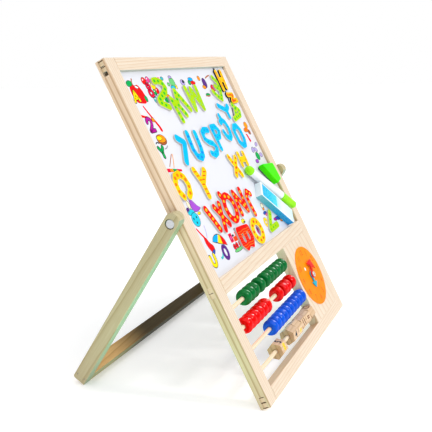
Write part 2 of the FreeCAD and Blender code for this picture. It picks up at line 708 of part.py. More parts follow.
ERASER = [(259.0, 236.0), (300.0, 232.0), (304.0, 206.0), (287.0, 203.0)]
for name, y0, y1 in (("eraser_felt", FACE - 0.05 - S("eraser_felt"), FACE - 0.05 + 0 * T),
                     ("eraser_grip", FACE - 0.1 - S("eraser_felt") - S("eraser_grip"),
                      FACE - 0.1 - S("eraser_felt"))):
    b = new_body(name)
    sk = new_sketch(b, "XZ_Plane", 0.0 - y0)
    inset = 1.2 if name == "eraser_felt" else 0.0
    cx = sum(p[0] for p in ERASER) / 4
    cz = sum(p[1] for p in ERASER) / 4
    k = 1.0 - inset / 18.0
    draw_poly(sk, [(cx + (p[0] - cx) * k, cz + (p[1] - cz) * k) for p in reversed(ERASER)])
    pad(b, sk, y1 - y0, True)
    round_edges(b, 2.6, along((0, 1, 0)))
    if name == "eraser_grip":
        front = num(y0)
        round_edges(b, 1.4, lambda e: all(abs(p.Point.y - front) < 0.01 for p in e.Vertexes))

CARTON = BOARD.multiply(move(213.0, FACE - 0.05 - value["carton_tall"], 199.0, (0, 1, 0), 41.84))
b = new_body("chalk_carton", CARTON)
pad_box(b, 0.0, S("carton_long"), 0.0, S("carton_tall"), 0.0 * T, S("carton_wide"))
round_edges(b, 0.5, lambda e: True)

doc.recompute()

# ------------------------------------------------------------------ checks and export
bad = []
for o in doc.Objects:
    if "Invalid" in o.State or "Error" in o.State:
        bad.append(o.Name + " " + ",".join(o.State))
for n in nodes:
    if n.Shape.isNull() or not n.Shape.isValid() or not n.Shape.Solids:
        bad.append(n.Label + " shape")
if bad:
    raise RuntimeError("; ".join(bad))
if len(nodes) > 60 or len(set(n.Label for n in nodes)) != len(nodes):
    raise RuntimeError("node names")

os.makedirs("parts", exist_ok=True)
box = FreeCAD.BoundBox()
for n in nodes:
    n.Shape.exportStep("parts/" + n.Label + ".step")
    box.add(n.Shape.BoundBox)
print("nodes", len(nodes), "solids", sum(len(n.Shape.Solids) for n in nodes))
print("box", [round(x, 3) for x in (box.XMin, box.XMax, box.YMin, box.YMax, box.ZMin, box.ZMax)])
print("stand low", round(min(n.Shape.BoundBox.ZMin for n in nodes if n.Label in ("left_leg", "right_leg")), 3),
      "board low", round(min(n.Shape.BoundBox.ZMin for n in nodes if n.Label in ("left_stile", "bottom_rail")), 3))
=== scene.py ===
import json
import math
import random

import bmesh
import bpy
from mathutils import Matrix, Vector

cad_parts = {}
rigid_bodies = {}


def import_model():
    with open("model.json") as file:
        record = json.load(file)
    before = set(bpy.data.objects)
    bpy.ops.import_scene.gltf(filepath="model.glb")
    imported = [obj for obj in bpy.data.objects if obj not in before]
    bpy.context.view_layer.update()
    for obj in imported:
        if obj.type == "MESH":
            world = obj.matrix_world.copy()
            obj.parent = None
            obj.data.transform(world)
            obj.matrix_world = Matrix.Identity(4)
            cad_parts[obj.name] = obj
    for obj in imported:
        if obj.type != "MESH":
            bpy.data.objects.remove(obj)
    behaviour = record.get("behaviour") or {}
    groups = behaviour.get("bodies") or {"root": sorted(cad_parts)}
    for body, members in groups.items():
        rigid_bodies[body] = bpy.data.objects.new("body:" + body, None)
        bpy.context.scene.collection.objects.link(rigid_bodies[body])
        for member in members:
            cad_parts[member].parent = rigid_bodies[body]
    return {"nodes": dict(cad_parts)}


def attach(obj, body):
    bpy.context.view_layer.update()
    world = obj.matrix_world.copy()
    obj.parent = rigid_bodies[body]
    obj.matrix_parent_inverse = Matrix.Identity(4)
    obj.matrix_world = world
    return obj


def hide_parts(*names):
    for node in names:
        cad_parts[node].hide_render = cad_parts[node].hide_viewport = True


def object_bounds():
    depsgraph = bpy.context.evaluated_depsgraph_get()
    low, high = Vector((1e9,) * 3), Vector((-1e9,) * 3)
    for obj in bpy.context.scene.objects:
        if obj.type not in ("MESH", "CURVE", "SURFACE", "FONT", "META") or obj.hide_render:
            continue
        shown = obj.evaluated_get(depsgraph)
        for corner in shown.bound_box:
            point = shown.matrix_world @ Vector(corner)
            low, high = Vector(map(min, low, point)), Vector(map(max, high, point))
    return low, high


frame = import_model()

low0, high0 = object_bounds()
cad_box = [list(low0), list(high0)]
random.seed(7)

# ---------------------------------------------------------------- board frame
LEAN = math.radians(26.2)
C, S_ = math.cos(LEAN), math.sin(LEAN)
MM = 0.001
# millimetres across from the left edge, back from the front face, up the board -> metres in the row frame
BOARD = (Matrix.Translation((0, -0.11732, 0.00574)) @ Matrix.Rotation(-LEAN, 4, "X")
         @ Matrix.Translation((-0.1625, 0, 0)) @ Matrix.Scale(MM, 4))
FACE = 4.55          # front of the whiteboard sheet
BACKFACE = 8.0       # rear of the chalkboard sheet
LEG_TURN = math.radians(33.3)
OUT = Vector((0, -C, S_))
scene = bpy.context.scene
nodes = frame["nodes"]


# ---------------------------------------------------------------- node helpers
class Mat:
    """A node material with short helpers."""

    def __init__(self, name):
        self.m = bpy.data.materials.new(name)
        self.m.use_nodes = True
        self.t = self.m.node_tree
        self.t.nodes.clear()
        self.out = self.t.nodes.new("ShaderNodeOutputMaterial")
        self.b = self.t.nodes.new("ShaderNodeBsdfPrincipled")
        self.t.links.new(self.b.outputs[0], self.out.inputs[0])
        self.tex = self.t.nodes.new("ShaderNodeTexCoord")

    def n(self, kind, **props):
        node = self.t.nodes.new(kind)
        for k, v in props.items():
            setattr(node, k, v)
        return node

    def link(self, a, b):
        self.t.links.new(a, b)

    def set(self, name, v):
        self.b.inputs[name].default_value = v

    def mapping(self, rot=(0, 0, 0), loc=(0, 0, 0), scale=(1, 1, 1), src=None):
        mp = self.n("ShaderNodeMapping")
        mp.inputs["Rotation"].default_value = rot
        mp.inputs["Location"].default_value = loc
        mp.inputs["Scale"].default_value = scale
        self.link(src or self.tex.outputs["Object"], mp.inputs["Vector"])
        return mp.outputs["Vector"]

    def noise(self, vec, scale=5.0, detail=4.0, rough=0.55, dist=0.0):
        x = self.n("ShaderNodeTexNoise")
        x.inputs["Scale"].default_value = scale
        x.inputs["Detail"].default_value = detail
        x.inputs["Roughness"].default_value = rough
        x.inputs["Distortion"].default_value = dist
        self.link(vec, x.inputs["Vector"])
        return x.outputs["Fac"]

    def ramp(self, fac, stops, mode="LINEAR"):
        r = self.n("ShaderNodeValToRGB")
        r.color_ramp.interpolation = mode
        els = r.color_ramp.elements
        while len(els) > 1:
            els.remove(els[-1])
        els[0].position, els[0].color = stops[0][0], col(stops[0][1])
        for p, c in stops[1:]:
            e = els.new(p)
            e.color = col(c)
        self.link(fac, r.inputs[0])
        return r.outputs[0]

    def mix(self, fac, a, b, mode="MIX"):
        x = self.n("ShaderNodeMix", data_type="RGBA", blend_type=mode)
        self.put(fac, x.inputs[0])
        self.put(a, x.inputs[6])
        self.put(b, x.inputs[7])
        return x.outputs[2]

    def math(self, op, a, b=None, clamp=False):
        x = self.n("ShaderNodeMath", operation=op, use_clamp=clamp)
        self.put(a, x.inputs[0])
        if b is not None:
            self.put(b, x.inputs[1])
        return x.outputs[0]

    def put(self, v, sock):
        if isinstance(v, bpy.types.NodeSocket):
            self.link(v, sock)
        elif isinstance(v, (tuple, list)):
            sock.default_value = col(v)
        else:
            sock.default_value = v

    def bump(self, height, strength=0.3, distance=0.0002, normal=None):
        x = self.n("ShaderNodeBump")
        x.inputs["Strength"].default_value = strength
        x.inputs["Distance"].default_value = distance
        self.link(height, x.inputs["Height"])
        if normal is not None:
            self.link(normal, x.inputs["Normal"])
        return x.outputs["Normal"]

    def edge(self, radius=0.0015):
        """0 on flat ground, towards 1 on an edge."""
        bev = self.n("ShaderNodeBevel", samples=4)
        bev.inputs["Radius"].default_value = radius
        geo = self.n("ShaderNodeNewGeometry")
        dot = self.n("ShaderNodeVectorMath", operation="DOT_PRODUCT")
        self.link(bev.outputs[0], dot.inputs[0])
        self.link(geo.outputs["Normal"], dot.inputs[1])
        inv = self.math("SUBTRACT", 1.0, dot.outputs["Value"])
        return self.math("MULTIPLY", inv, 6.0, clamp=True)

    def facing(self, direction):
        """The share by which the surface faces a fixed direction of the object at rest."""
        geo = self.n("ShaderNodeNewGeometry")
        tr = self.n("ShaderNodeVectorTransform", vector_type="NORMAL", convert_from="WORLD", convert_to="OBJECT")
        self.link(geo.outputs["True Normal"], tr.inputs[0])
        dot = self.n("ShaderNodeVectorMath", operation="DOT_PRODUCT")
        dot.inputs[1].default_value = direction
        self.link(tr.outputs[0], dot.inputs[0])
        return dot.outputs["Value"]


def col(c):
    return tuple(c) if len(c) == 4 else tuple(c) + (1.0,)


def srgb(r, g, b):
    def f(x):
        x /= 255.0
        return x / 12.92 if x <= 0.04045 else ((x + 0.055) / 1.055) ** 2.4
    return (f(r), f(g), f(b))


def wood(name, grain, turn, light, mid, dark, seed=0.0, ring=95.0, rough=0.42, knots=0.0, tilt=0.05, pith=None,
         flank=None, shadow_fade=None, ledge_shade=None, painted_bounce_shade=None):
    """Sawn softwood: growth rings about a pith line, fibres, slow colour change, pores and softened edges."""
    m = Mat(name)
    base = m.mapping(rot=(turn, 0, 0), loc=(seed * 0.37, seed * 0.21, seed * 0.53))
    axis = {"x": 0, "z": 2}[grain]
    # slow waver of the grain
    warp_src = [7.0, 7.0, 7.0]
    warp_src[axis] = 2.2
    warp_v = m.mapping(scale=tuple(warp_src), src=base)
    warp = m.n("ShaderNodeTexNoise")
    warp.inputs["Scale"].default_value = 1.6
    warp.inputs["Detail"].default_value = 2.0
    m.link(warp_v, warp.inputs["Vector"])
    sub = m.n("ShaderNodeVectorMath", operation="SUBTRACT")
    m.link(warp.outputs["Color"], sub.inputs[0])
    sub.inputs[1].default_value = (0.5, 0.5, 0.5)
    scl = m.n("ShaderNodeVectorMath", operation="SCALE")
    m.link(sub.outputs[0], scl.inputs[0])
    scl.inputs["Scale"].default_value = 0.0045
    add = m.n("ShaderNodeVectorMath", operation="ADD")
    m.link(base, add.inputs[0])
    m.link(scl.outputs[0], add.inputs[1])
    # rings about a pith that is tilted a little, so that the bands run out as long arches
    rot = [0.0, tilt, 0.0] if grain == "z" else [0.0, tilt, tilt * 0.7]
    off = pith or ((0.021, 0.034, 0.0) if grain == "z" else (0.0, 0.031, 0.024))
    ring_v = m.mapping(rot=tuple(rot), loc=off, src=add.outputs[0])
    w = m.n("ShaderNodeTexWave", wave_type="RINGS", rings_direction="Z" if grain == "z" else "X", wave_profile="SAW")
    w.inputs["Scale"].default_value = ring
    w.inputs["Distortion"].default_value = 0.7
    w.inputs["Detail"].default_value = 2.0
    w.inputs["Detail Scale"].default_value = 0.6
    m.link(ring_v, w.inputs["Vector"])
    fib_s = [900.0, 900.0, 900.0]
    fib_s[axis] = 26.0
    fib = m.noise(m.mapping(scale=tuple(fib_s), src=add.outputs[0]), 1.0, 3.0, 0.6)
    fine_s = [2600.0, 2600.0, 2600.0]
    fine_s[axis] = 120.0
    fine = m.noise(m.mapping(scale=tuple(fine_s), src=base), 1.0, 2.0, 0.6)
    slow = m.noise(base, 9.0, 3.0, 0.5)
    ringc = m.ramp(w.outputs["Fac"], [(0.0, light), (0.55, light), (0.86, mid), (0.97, dark), (1.0, light)])
    slowc = m.mix(m.ramp(slow, [(0.3, (0, 0, 0)), (0.7, (0.42, 0.42, 0.42))]), ringc, mid)
    fibc = m.mix(m.ramp(fib, [(0.35, (0.0, 0.0, 0.0)), (0.75, (0.34, 0.34, 0.34))]), slowc, dark)
    finec = m.mix(m.ramp(fine, [(0.45, (0, 0, 0)), (0.8, (0.22, 0.22, 0.22))]), fibc, light)
    last = finec
    if knots:
        vs = [5.0, 5.0, 5.0]
        vs[axis] = 3.2
        vor = m.n("ShaderNodeTexVoronoi", feature="F1")
        vor.inputs["Scale"].default_value = knots
        m.link(m.mapping(scale=tuple(vs), src=add.outputs[0]), vor.inputs["Vector"])
        k = m.ramp(vor.outputs["Distance"], [(0.0, (1, 1, 1)), (0.045, (0.85, 0.85, 0.85)), (0.12, (0, 0, 0))])
        last = m.mix(k, last, tuple(x * 0.45 for x in dark))
    if flank:
        # edge grain: straight close lines on the faces to left and right
        w2 = m.n("ShaderNodeTexWave", wave_type="BANDS", bands_direction="Y", wave_profile="SAW")
        w2.inputs["Scale"].default_value = 50.0
        w2.inputs["Distortion"].default_value = 0.25
        w2.inputs["Detail"].default_value = 1.0
        m.link(m.mapping(rot=(0.006, 0, 0), src=add.outputs[0]), w2.inputs["Vector"])
        lines = m.ramp(w2.outputs["Fac"], [(0.0, flank[0]), (0.5, flank[0]), (0.85, flank[1]), (1.0, flank[0])])
        lines = m.mix(m.ramp(fib, [(0.35, (0.0, 0.0, 0.0)), (0.75, (0.4, 0.4, 0.4))]), lines, flank[1])
        if flank[0] is SIDE_L:
            # painted light: the stiles' sides carry a painted green floor bounce low down and turn redder towards the
            # top, where it is faded out
            zs = m.n("ShaderNodeSeparateXYZ")
            m.link(m.tex.outputs["Object"], zs.inputs[0])
            up = m.ramp(zs.outputs["Z"], [(0.10, (0, 0, 0)), (0.24, (1, 1, 1))], "EASE")
            red = m.ramp(w2.outputs["Fac"], [(0.0, HIGH_L), (0.5, HIGH_L), (0.85, HIGH_D), (1.0, HIGH_L)])
            red = m.mix(m.ramp(fib, [(0.35, (0.0, 0.0, 0.0)), (0.75, (0.4, 0.4, 0.4))]), red, HIGH_D)
            lines = m.mix(up, lines, red)
        on = m.math("GREATER_THAN", m.math("ABSOLUTE", m.facing((1, 0, 0))), 0.6)
        last = m.mix(on, last, lines)
    if painted_bounce_shade:
        # painted light: one long face is drawn in a cooler green-grey; on the legs' and cross bar's front-and-down
        # faces this is painted green floor bounce, on the top rail's underside painted shade
        side = m.math("GREATER_THAN", m.facing(painted_bounce_shade[1]), 0.8)
        last = m.mix(m.math("MULTIPLY", side, painted_bounce_shade[2]), last, m.mix(fib, painted_bounce_shade[0], tuple(x * 0.7 for x in painted_bounce_shade[0])))
    if ledge_shade:
        # painted shade: the shelf face that looks up the board is drawn darker and browner, standing in for the shade
        # on the bottom rail's ledge
        top = m.math("GREATER_THAN", m.facing((0, S_, C)), 0.7)
        last = m.mix(m.math("MULTIPLY", top, 0.8), last, m.mix(fib, ledge_shade, tuple(x * 0.62 for x in ledge_shade)))
    if shadow_fade:
        # painted shadow: the bar is drawn darker from one end to the other, standing in for the board's shadow falling
        # on the cross bar
        sep = m.n("ShaderNodeSeparateXYZ")
        m.link(m.tex.outputs["Object"], sep.inputs[0])
        far = m.ramp(m.math("MULTIPLY", m.math("ADD", sep.outputs["X"], 0.165), 3.0), [(0.10, (0, 0, 0)), (0.42, (1, 1, 1))], "EASE")
        last = m.mix(far, last, m.mix(0.93, last, shadow_fade))
    worn = m.edge()
    last = m.mix(m.math("MULTIPLY", worn, 0.35), last, tuple(min(1.0, x * 1.08) for x in light) if not shadow_fade else (0.4, 0.26, 0.13))
    m.link(last, m.b.inputs["Base Color"])
    r = m.ramp(fib, [(0.2, (rough - 0.08,) * 3), (0.8, (rough + 0.14,) * 3)])
    m.link(r, m.b.inputs["Roughness"])
    h = m.math("ADD", m.math("MULTIPLY", fib, 0.7), m.math("MULTIPLY", w.outputs["Fac"], 0.3))
    m.link(m.bump(h, 0.35, 0.00012), m.b.inputs["Normal"])
    m.set("Coat Weight", 0.0 if shadow_fade else 0.12)
    m.set("Coat Roughness", 0.35)
    if shadow_fade:
        m.set("Specular IOR Level", 0.12)
    return m.m


def plastic(name, colour, dark=None, rough=0.3, speck=300.0, depth=0.00006, coat=0.3, sides=None, sub=0.0, spec=0.5):
    """Moulded or printed plastic: slow colour drift, fine skin texture, uneven gloss, paler worn edges."""
    m = Mat(name)
    v = m.mapping(rot=(LEAN, 0, 0))
    slow = m.noise(v, 22.0, 3.0, 0.5)
    grain = m.noise(v, speck * 4.0, 3.0, 0.6)
    smear = m.noise(m.mapping(scale=(60, 200, 60), src=v), 1.0, 4.0, 0.6)
    dk = dark or tuple(x * 0.82 for x in colour)
    c = m.mix(m.ramp(slow, [(0.35, (0, 0, 0)), (0.7, (1, 1, 1))]), colour, dk)
    c = m.mix(m.ramp(grain, [(0.5, (0, 0, 0)), (0.85, (0.14, 0.14, 0.14))]), c, tuple(min(1, x * 1.25 + 0.02) for x in colour))
    worn = m.edge(0.0008)
    c = m.mix(m.math("MULTIPLY", worn, 0.25), c, tuple(min(1.0, x * 1.2 + 0.05) for x in colour))
    if sides is not None:
        face = m.math("GREATER_THAN", m.facing(tuple(OUT)), 0.55)
        c = m.mix(face, sides, c)
    m.link(c, m.b.inputs["Base Color"])
    m.link(m.ramp(smear, [(0.3, (rough - 0.06,) * 3), (0.7, (rough + 0.12,) * 3)]), m.b.inputs["Roughness"])
    m.link(m.bump(grain, 0.25, depth), m.b.inputs["Normal"])
    m.set("Coat Weight", coat)
    m.set("Coat Roughness", 0.15)
    m.set("Specular IOR Level", spec)
    if sub:
        m.set("Subsurface Weight", sub)
        m.set("Subsurface Radius", (0.002, 0.002, 0.002))
    return m.m


def paint(name, colour, dark):
    """Thick gloss paint on turned wood: orange peel, faint lathe lines, painted shade darkening the edges and the
    seams.
    """
    m = Mat(name)
    v = m.mapping(rot=(LEAN, 0, 0))
    slow = m.noise(v, 60.0, 3.0, 0.5)
    peel = m.noise(v, 900.0, 2.0, 0.5)
    lathe = m.noise(m.mapping(scale=(1800, 20, 20), src=v), 1.0, 2.0, 0.5)
    c = m.mix(m.ramp(slow, [(0.3, (0, 0, 0)), (0.72, (0.7, 0.7, 0.7))]), colour, dark)
    # painted shade: the edges and the seams between beads are drawn darker
    worn = m.edge(0.0006)
    c = m.mix(m.math("MULTIPLY", worn, 0.35), c, tuple(x * 0.55 for x in dark))
    m.link(c, m.b.inputs["Base Color"])
    m.link(m.ramp(peel, [(0.3, (0.12,) * 3), (0.8, (0.2,) * 3)]), m.b.inputs["Roughness"])
    h = m.math("ADD", m.math("MULTIPLY", peel, 0.6), m.math("MULTIPLY", lathe, 0.4))
    m.link(m.bump(h, 0.12, 0.00005), m.b.inputs["Normal"])
    m.set("Specular IOR Level", 0.0)
    m.set("Coat Weight", 0.34)
    m.set("Coat Roughness", 0.08)
    return m.m


def metal(name, colour=(0.62, 0.63, 0.65), rough=0.32, turn=LEAN):
    m = Mat(name)
    v = m.mapping(rot=(turn, 0, 0))
    brush = m.noise(m.mapping(scale=(200, 2600, 2600), src=v), 1.0, 3.0, 0.6)
    spots = m.noise(v, 420.0, 4.0, 0.65)
    c = m.mix(m.ramp(spots, [(0.45, (0, 0, 0)), (0.8, (0.5, 0.5, 0.5))]), colour, tuple(x * 0.6 for x in colour))
    worn = m.edge(0.0005)
    c = m.mix(m.math("MULTIPLY", worn, 0.4), c, (0.85, 0.85, 0.86))
    m.link(c, m.b.inputs["Base Color"])
    m.set("Metallic", 1.0)
    m.link(m.ramp(brush, [(0.3, (rough - 0.08,) * 3), (0.7, (rough + 0.16,) * 3)]), m.b.inputs["Roughness"])
    m.link(m.bump(brush, 0.2, 0.00004), m.b.inputs["Normal"])
    return m.m


def felt(name, colour):
    m = Mat(name)
    v = m.mapping(rot=(LEAN, 0, 0))
    hair = m.noise(v, 2200.0, 5.0, 0.75, 1.5)
    clump = m.noise(v, 260.0, 4.0, 0.6)
    c = m.mix(m.ramp(hair, [(0.35, (0, 0, 0)), (0.75, (1, 1, 1))]), colour, tuple(min(1, x * 2.2 + 0.03) for x in colour))
    c = m.mix(m.ramp(clump, [(0.4, (0, 0, 0)), (0.8, (0.5, 0.5, 0.5))]), c, (0.5, 0.52, 0.5))
    m.link(c, m.b.inputs["Base Color"])
    m.link(m.ramp(clump, [(0, (0.85,) * 3), (1, (1.0,) * 3)]), m.b.inputs["Roughness"])
    m.link(m.bump(hair, 0.8, 0.0003), m.b.inputs["Normal"])
    m.set("Sheen Weight", 0.5)
    return m.m


def ink(name, colour, rough=0.34):
    """Printed colour: halftone-fine mottling, slight registration streaks."""
    m = Mat(name)
    v = m.mapping(rot=(LEAN, 0, 0))
    mott = m.noise(v, 700.0, 4.0, 0.6)
    slow = m.noise(v, 40.0, 2.0, 0.5)
    c = m.mix(m.ramp(mott, [(0.4, (0, 0, 0)), (0.8, (0.35, 0.35, 0.35))]), colour, tuple(min(1.0, x * 1.25 + 0.03) for x in colour))
    c = m.mix(m.ramp(slow, [(0.4, (0, 0, 0)), (0.8, (0.3, 0.3, 0.3))]), c, tuple(x * 0.75 for x in colour))
    m.link(c, m.b.inputs["Base Color"])
    m.link(m.ramp(mott, [(0.3, (rough - 0.04,) * 3), (0.8, (rough + 0.08,) * 3)]), m.b.inputs["Roughness"])
    m.link(m.bump(mott, 0.1, 0.00003), m.b.inputs["Normal"])
    m.set("Specular IOR Level", 0.03)
    return m.m


# ---------------------------------------------------------------- materials
FRONT_L, FRONT_M, FRONT_D = (0.80, 0.685, 0.55), (0.75, 0.59, 0.43), (0.61, 0.39, 0.22)
# stile edge-grain colours, tinted olive by painted green floor bounce
SIDE_L, SIDE_D = (0.72, 0.60, 0.36), (0.44, 0.29, 0.12)
HIGH_L, HIGH_D = (0.92, 0.70, 0.50), (0.60, 0.36, 0.18)
END = ((0.80, 0.62, 0.40), (0.56, 0.37, 0.17))
# leg pine colours shifted olive: partly the wood's colour, partly painted green floor bounce
LEG_L, LEG_M, LEG_D = (0.57, 0.495, 0.29), (0.50, 0.415, 0.225), (0.36, 0.265, 0.11)
# painted green floor bounce for the legs' and cross bar's front-and-down faces
GREEN_BOUNCE = ((0.17, 0.42, 0.25), (0, -math.cos(LEG_TURN), -math.sin(LEG_TURN)), 0.62)
wood_of = {
    "left_stile": wood("pine_left_stile", "z", LEAN, FRONT_L, FRONT_M, FRONT_D, 1.3, flank=(SIDE_L, SIDE_D)),
    "right_stile": wood("pine_right_stile", "z", LEAN, FRONT_L, FRONT_M, FRONT_D, 2.9, flank=(SIDE_L, SIDE_D)),
    # the top rail's underside gets painted grey-green shade
    "top_rail": wood("pine_top_rail", "x", LEAN, FRONT_L, FRONT_M, FRONT_D, 4.1, flank=END, painted_bounce_shade=((0.40, 0.52, 0.44), (0, -S_, -C), 0.8)),
    "middle_rail": wood("pine_middle_rail", "x", LEAN, FRONT_L, FRONT_M, FRONT_D, 5.7, ring=60.0, tilt=0.11, flank=END),
    # the bottom rail's ledge face gets painted shade
    "bottom_rail": wood("pine_bottom_rail", "x", LEAN, FRONT_L, FRONT_M, FRONT_D, 7.4, flank=END, ledge_shade=(0.66, 0.38, 0.22)),
    "clock_panel": wood("pine_clock_panel", "z", LEAN, FRONT_L, FRONT_M, FRONT_D, 8.8, ring=26.0, tilt=0.16),
    "left_leg": wood("pine_left_leg", "z", -LEG_TURN, LEG_L, LEG_M, LEG_D, 10.2, ring=48.0, tilt=0.03, painted_bounce_shade=GREEN_BOUNCE),
    "right_leg": wood("pine_right_leg", "z", -LEG_TURN, LEG_L, LEG_M, LEG_D, 11.6, ring=48.0, tilt=0.03, painted_bounce_shade=GREEN_BOUNCE),
    # the cross bar's darkening along its length is painted shadow of the board
    "cross_bar": wood("pine_cross_bar", "x", -LEG_TURN, (0.95, 0.60, 0.26), (0.82, 0.47, 0.18), (0.58, 0.30, 0.10), 13.1,
                      shadow_fade=(0.018, 0.018, 0.007), painted_bounce_shade=GREEN_BOUNCE),
}
rod_wood = wood("birch_rod", "x", LEAN, (0.93, 0.80, 0.60), (0.86, 0.69, 0.46), (0.72, 0.50, 0.28), 15.0, ring=160.0)
for i in range(1, 5):
    wood_of["rod_%d" % i] = rod_wood
for i in range(1, 7):
    wood_of["number_block_%d" % i] = wood("beech_block_%d" % i, "x", LEAN, (0.76, 0.53, 0.32), (0.66, 0.43, 0.23),
                                          (0.46, 0.26, 0.12), 17.0 + i * 1.7, ring=70.0, rough=0.36, flank=((0.60, 0.37, 0.20), (0.42, 0.24, 0.11)))

LIME = srgb(176, 216, 0)
CYAN = srgb(0, 192, 250)
YELLOW = srgb(255, 208, 4)
RED = srgb(244, 8, 2)
# side walls of the foam letters, drawn grey: partly the foam's own colour, partly painted shade
SIDE = (0.60, 0.57, 0.56)
lime_m = plastic("lime_magnet", LIME, srgb(158, 206, 0), 0.42, sides=SIDE, coat=0.0, spec=0.03)
cyan_m = plastic("cyan_magnet", CYAN, srgb(0, 176, 245), 0.42, sides=SIDE, coat=0.0, spec=0.03)
yellow_m = plastic("yellow_magnet", YELLOW, srgb(250, 190, 0), 0.42, sides=SIDE, coat=0.0, spec=0.03)
red_m = plastic("red_magnet", RED, srgb(225, 10, 5), 0.42, sides=SIDE, coat=0.0, spec=0.03)

# near-black side walls for the right yellow letters: painted shadow along their edges
yellow_shadow_edge_m = plastic("yellow_magnet_painted_shadow_edge", YELLOW, srgb(250, 176, 0), 0.42, sides=(0.03, 0.03, 0.045), coat=0.0, spec=0.03)

white_sheet = Mat("whiteboard_film")
v = white_sheet.mapping(rot=(LEAN, 0, 0))
wipe = white_sheet.noise(white_sheet.mapping(rot=(0, 0.5, 0), scale=(30, 30, 260), src=v), 1.0, 5.0, 0.65)
haze = white_sheet.noise(v, 16.0, 3.0, 0.5)
wc = white_sheet.mix(white_sheet.ramp(haze, [(0.35, (0, 0, 0)), (0.75, (0.6, 0.6, 0.6))]), (0.79, 0.795, 0.855), (0.75, 0.755, 0.825))
wc = white_sheet.mix(white_sheet.ramp(wipe, [(0.6, (0, 0, 0)), (0.85, (0.18, 0.18, 0.18))]), wc, (0.70, 0.72, 0.79))
white_sheet.link(wc, white_sheet.b.inputs["Base Color"])
white_sheet.link(white_sheet.ramp(wipe, [(0.3, (0.13,) * 3), (0.8, (0.27,) * 3)]), white_sheet.b.inputs["Roughness"])
white_sheet.link(white_sheet.bump(wipe, 0.08, 0.00003), white_sheet.b.inputs["Normal"])
white_sheet.set("Coat Weight", 0.4)
white_sheet.set("Coat Roughness", 0.08)

chalk = Mat("chalkboard_paint")
v = chalk.mapping(rot=(LEAN, 0, 0))
dust = chalk.noise(chalk.mapping(rot=(0, 0.35, 0), scale=(18, 18, 60), src=v), 1.0, 6.0, 0.7, 0.8)
grit = chalk.noise(v, 2400.0, 3.0, 0.7)
cc = chalk.mix(chalk.ramp(dust, [(0.42, (0, 0, 0)), (0.8, (0.5, 0.5, 0.5))]), (0.016, 0.02, 0.019), (0.16, 0.17, 0.165))
cc = chalk.mix(chalk.ramp(grit, [(0.55, (0, 0, 0)), (0.8, (0.25, 0.25, 0.25))]), cc, (0.2, 0.2, 0.2))
cc = chalk.mix(chalk.math("MULTIPLY", chalk.edge(), 0.4), cc, (0.3, 0.3, 0.29))
chalk.link(cc, chalk.b.inputs["Base Color"])
chalk.link(chalk.ramp(dust, [(0.3, (0.62,) * 3), (0.8, (0.92,) * 3)]), chalk.b.inputs["Roughness"])
chalk.link(chalk.bump(grit, 0.5, 0.00008), chalk.b.inputs["Normal"])

orange_dial = plastic("dial_board", srgb(255, 146, 0), srgb(252, 132, 0), 0.4, coat=0.0, spec=0.05)
hand_red = plastic("hand_red", srgb(238, 14, 8), None, 0.3, coat=0.05, spec=0.1)
hand_blue = plastic("hand_blue", srgb(20, 185, 215), None, 0.3, coat=0.05, spec=0.1)
steel = metal("zinc_steel")
pin_metal = metal("pin_steel", (0.72, 0.72, 0.73), 0.25)
nail_metal = metal("nail_steel", (0.30, 0.27, 0.24), 0.45, -LEG_TURN)
marker_white = plastic("marker_white", (0.88, 0.92, 0.94), (0.82, 0.88, 0.92), 0.22, coat=0.6)
marker_lime = plastic("marker_lime", srgb(164, 246, 0), srgb(136, 232, 0), 0.25, coat=0.2, sub=0.1, spec=0.15)
eraser_green = plastic("eraser_green", srgb(76, 238, 0), srgb(56, 224, 0), 0.4, coat=0.0, spec=0.06)
eraser_black = felt("eraser_felt", (0.02, 0.022, 0.022))
nib_felt = felt("nib_felt", (0.03, 0.03, 0.035))


def board_vec(a, b, c):
    return (a, b * C + c * S_, -b * S_ + c * C)


CT = math.radians(41.84)
carton = Mat("carton_board")
sep_o = carton.n("ShaderNodeVectorMath", operation="SUBTRACT")
carton.link(carton.tex.outputs["Object"], sep_o.inputs[0])
sep_o.inputs[1].default_value = tuple(BOARD @ Vector((213.0, FACE - 0.05 - 9.6, 199.0)))


def carton_axis(v, k):
    d = carton.n("ShaderNodeVectorMath", operation="DOT_PRODUCT")
    carton.link(sep_o.outputs[0], d.inputs[0])
    d.inputs[1].default_value = tuple(q * k for q in v)
    return d.outputs["Value"]


ex, ez = board_vec(math.cos(CT), 0, -math.sin(CT)), board_vec(math.sin(CT), 0, math.cos(CT))
cx = carton_axis(ex, 1000 / 83.0)
cz = carton_axis(ez, 1000 / 22.0)
mott = carton.noise(carton.mapping(rot=(LEAN, 0, 0)), 500.0, 3.0, 0.6)
front_c = carton.ramp(cx, [(0.0, (0.86, 0.90, 0.93)), (0.035, (0.86, 0.90, 0.93)), (0.04, (0.0, 0.46, 0.90)), (0.30, (0.0, 0.56, 0.95)),
                           (0.46, (0.05, 0.66, 0.97)), (0.50, (0.50, 0.83, 0.96)), (0.66, (0.78, 0.92, 0.98)), (1.0, (0.62, 0.87, 0.97))])
edge_z = carton.math("GREATER_THAN", carton.math("ABSOLUTE", carton.math("SUBTRACT", cz, 0.5)), 0.43)
front_c = carton.mix(edge_z, front_c, (0.88, 0.93, 0.96))
side_c = carton.ramp(cx, [(0.0, (0.16, 0.52, 0.58)), (0.3, (0.05, 0.45, 0.58)), (0.6, (0.0, 0.38, 0.68)), (1.0, (0.0, 0.28, 0.74))])
is_front = carton.math("GREATER_THAN", carton.facing(tuple(OUT)), 0.7)
is_side = carton.math("GREATER_THAN", carton.facing(tuple(-q for q in ez)), 0.7)
body_c = carton.mix(is_side, (0.78, 0.88, 0.93), side_c)
body_c = carton.mix(is_front, body_c, front_c)
vor = carton.n("ShaderNodeTexVoronoi", feature="F1")
vor.inputs["Scale"].default_value = 95.0
carton.link(carton.tex.outputs["Object"], vor.inputs["Vector"])
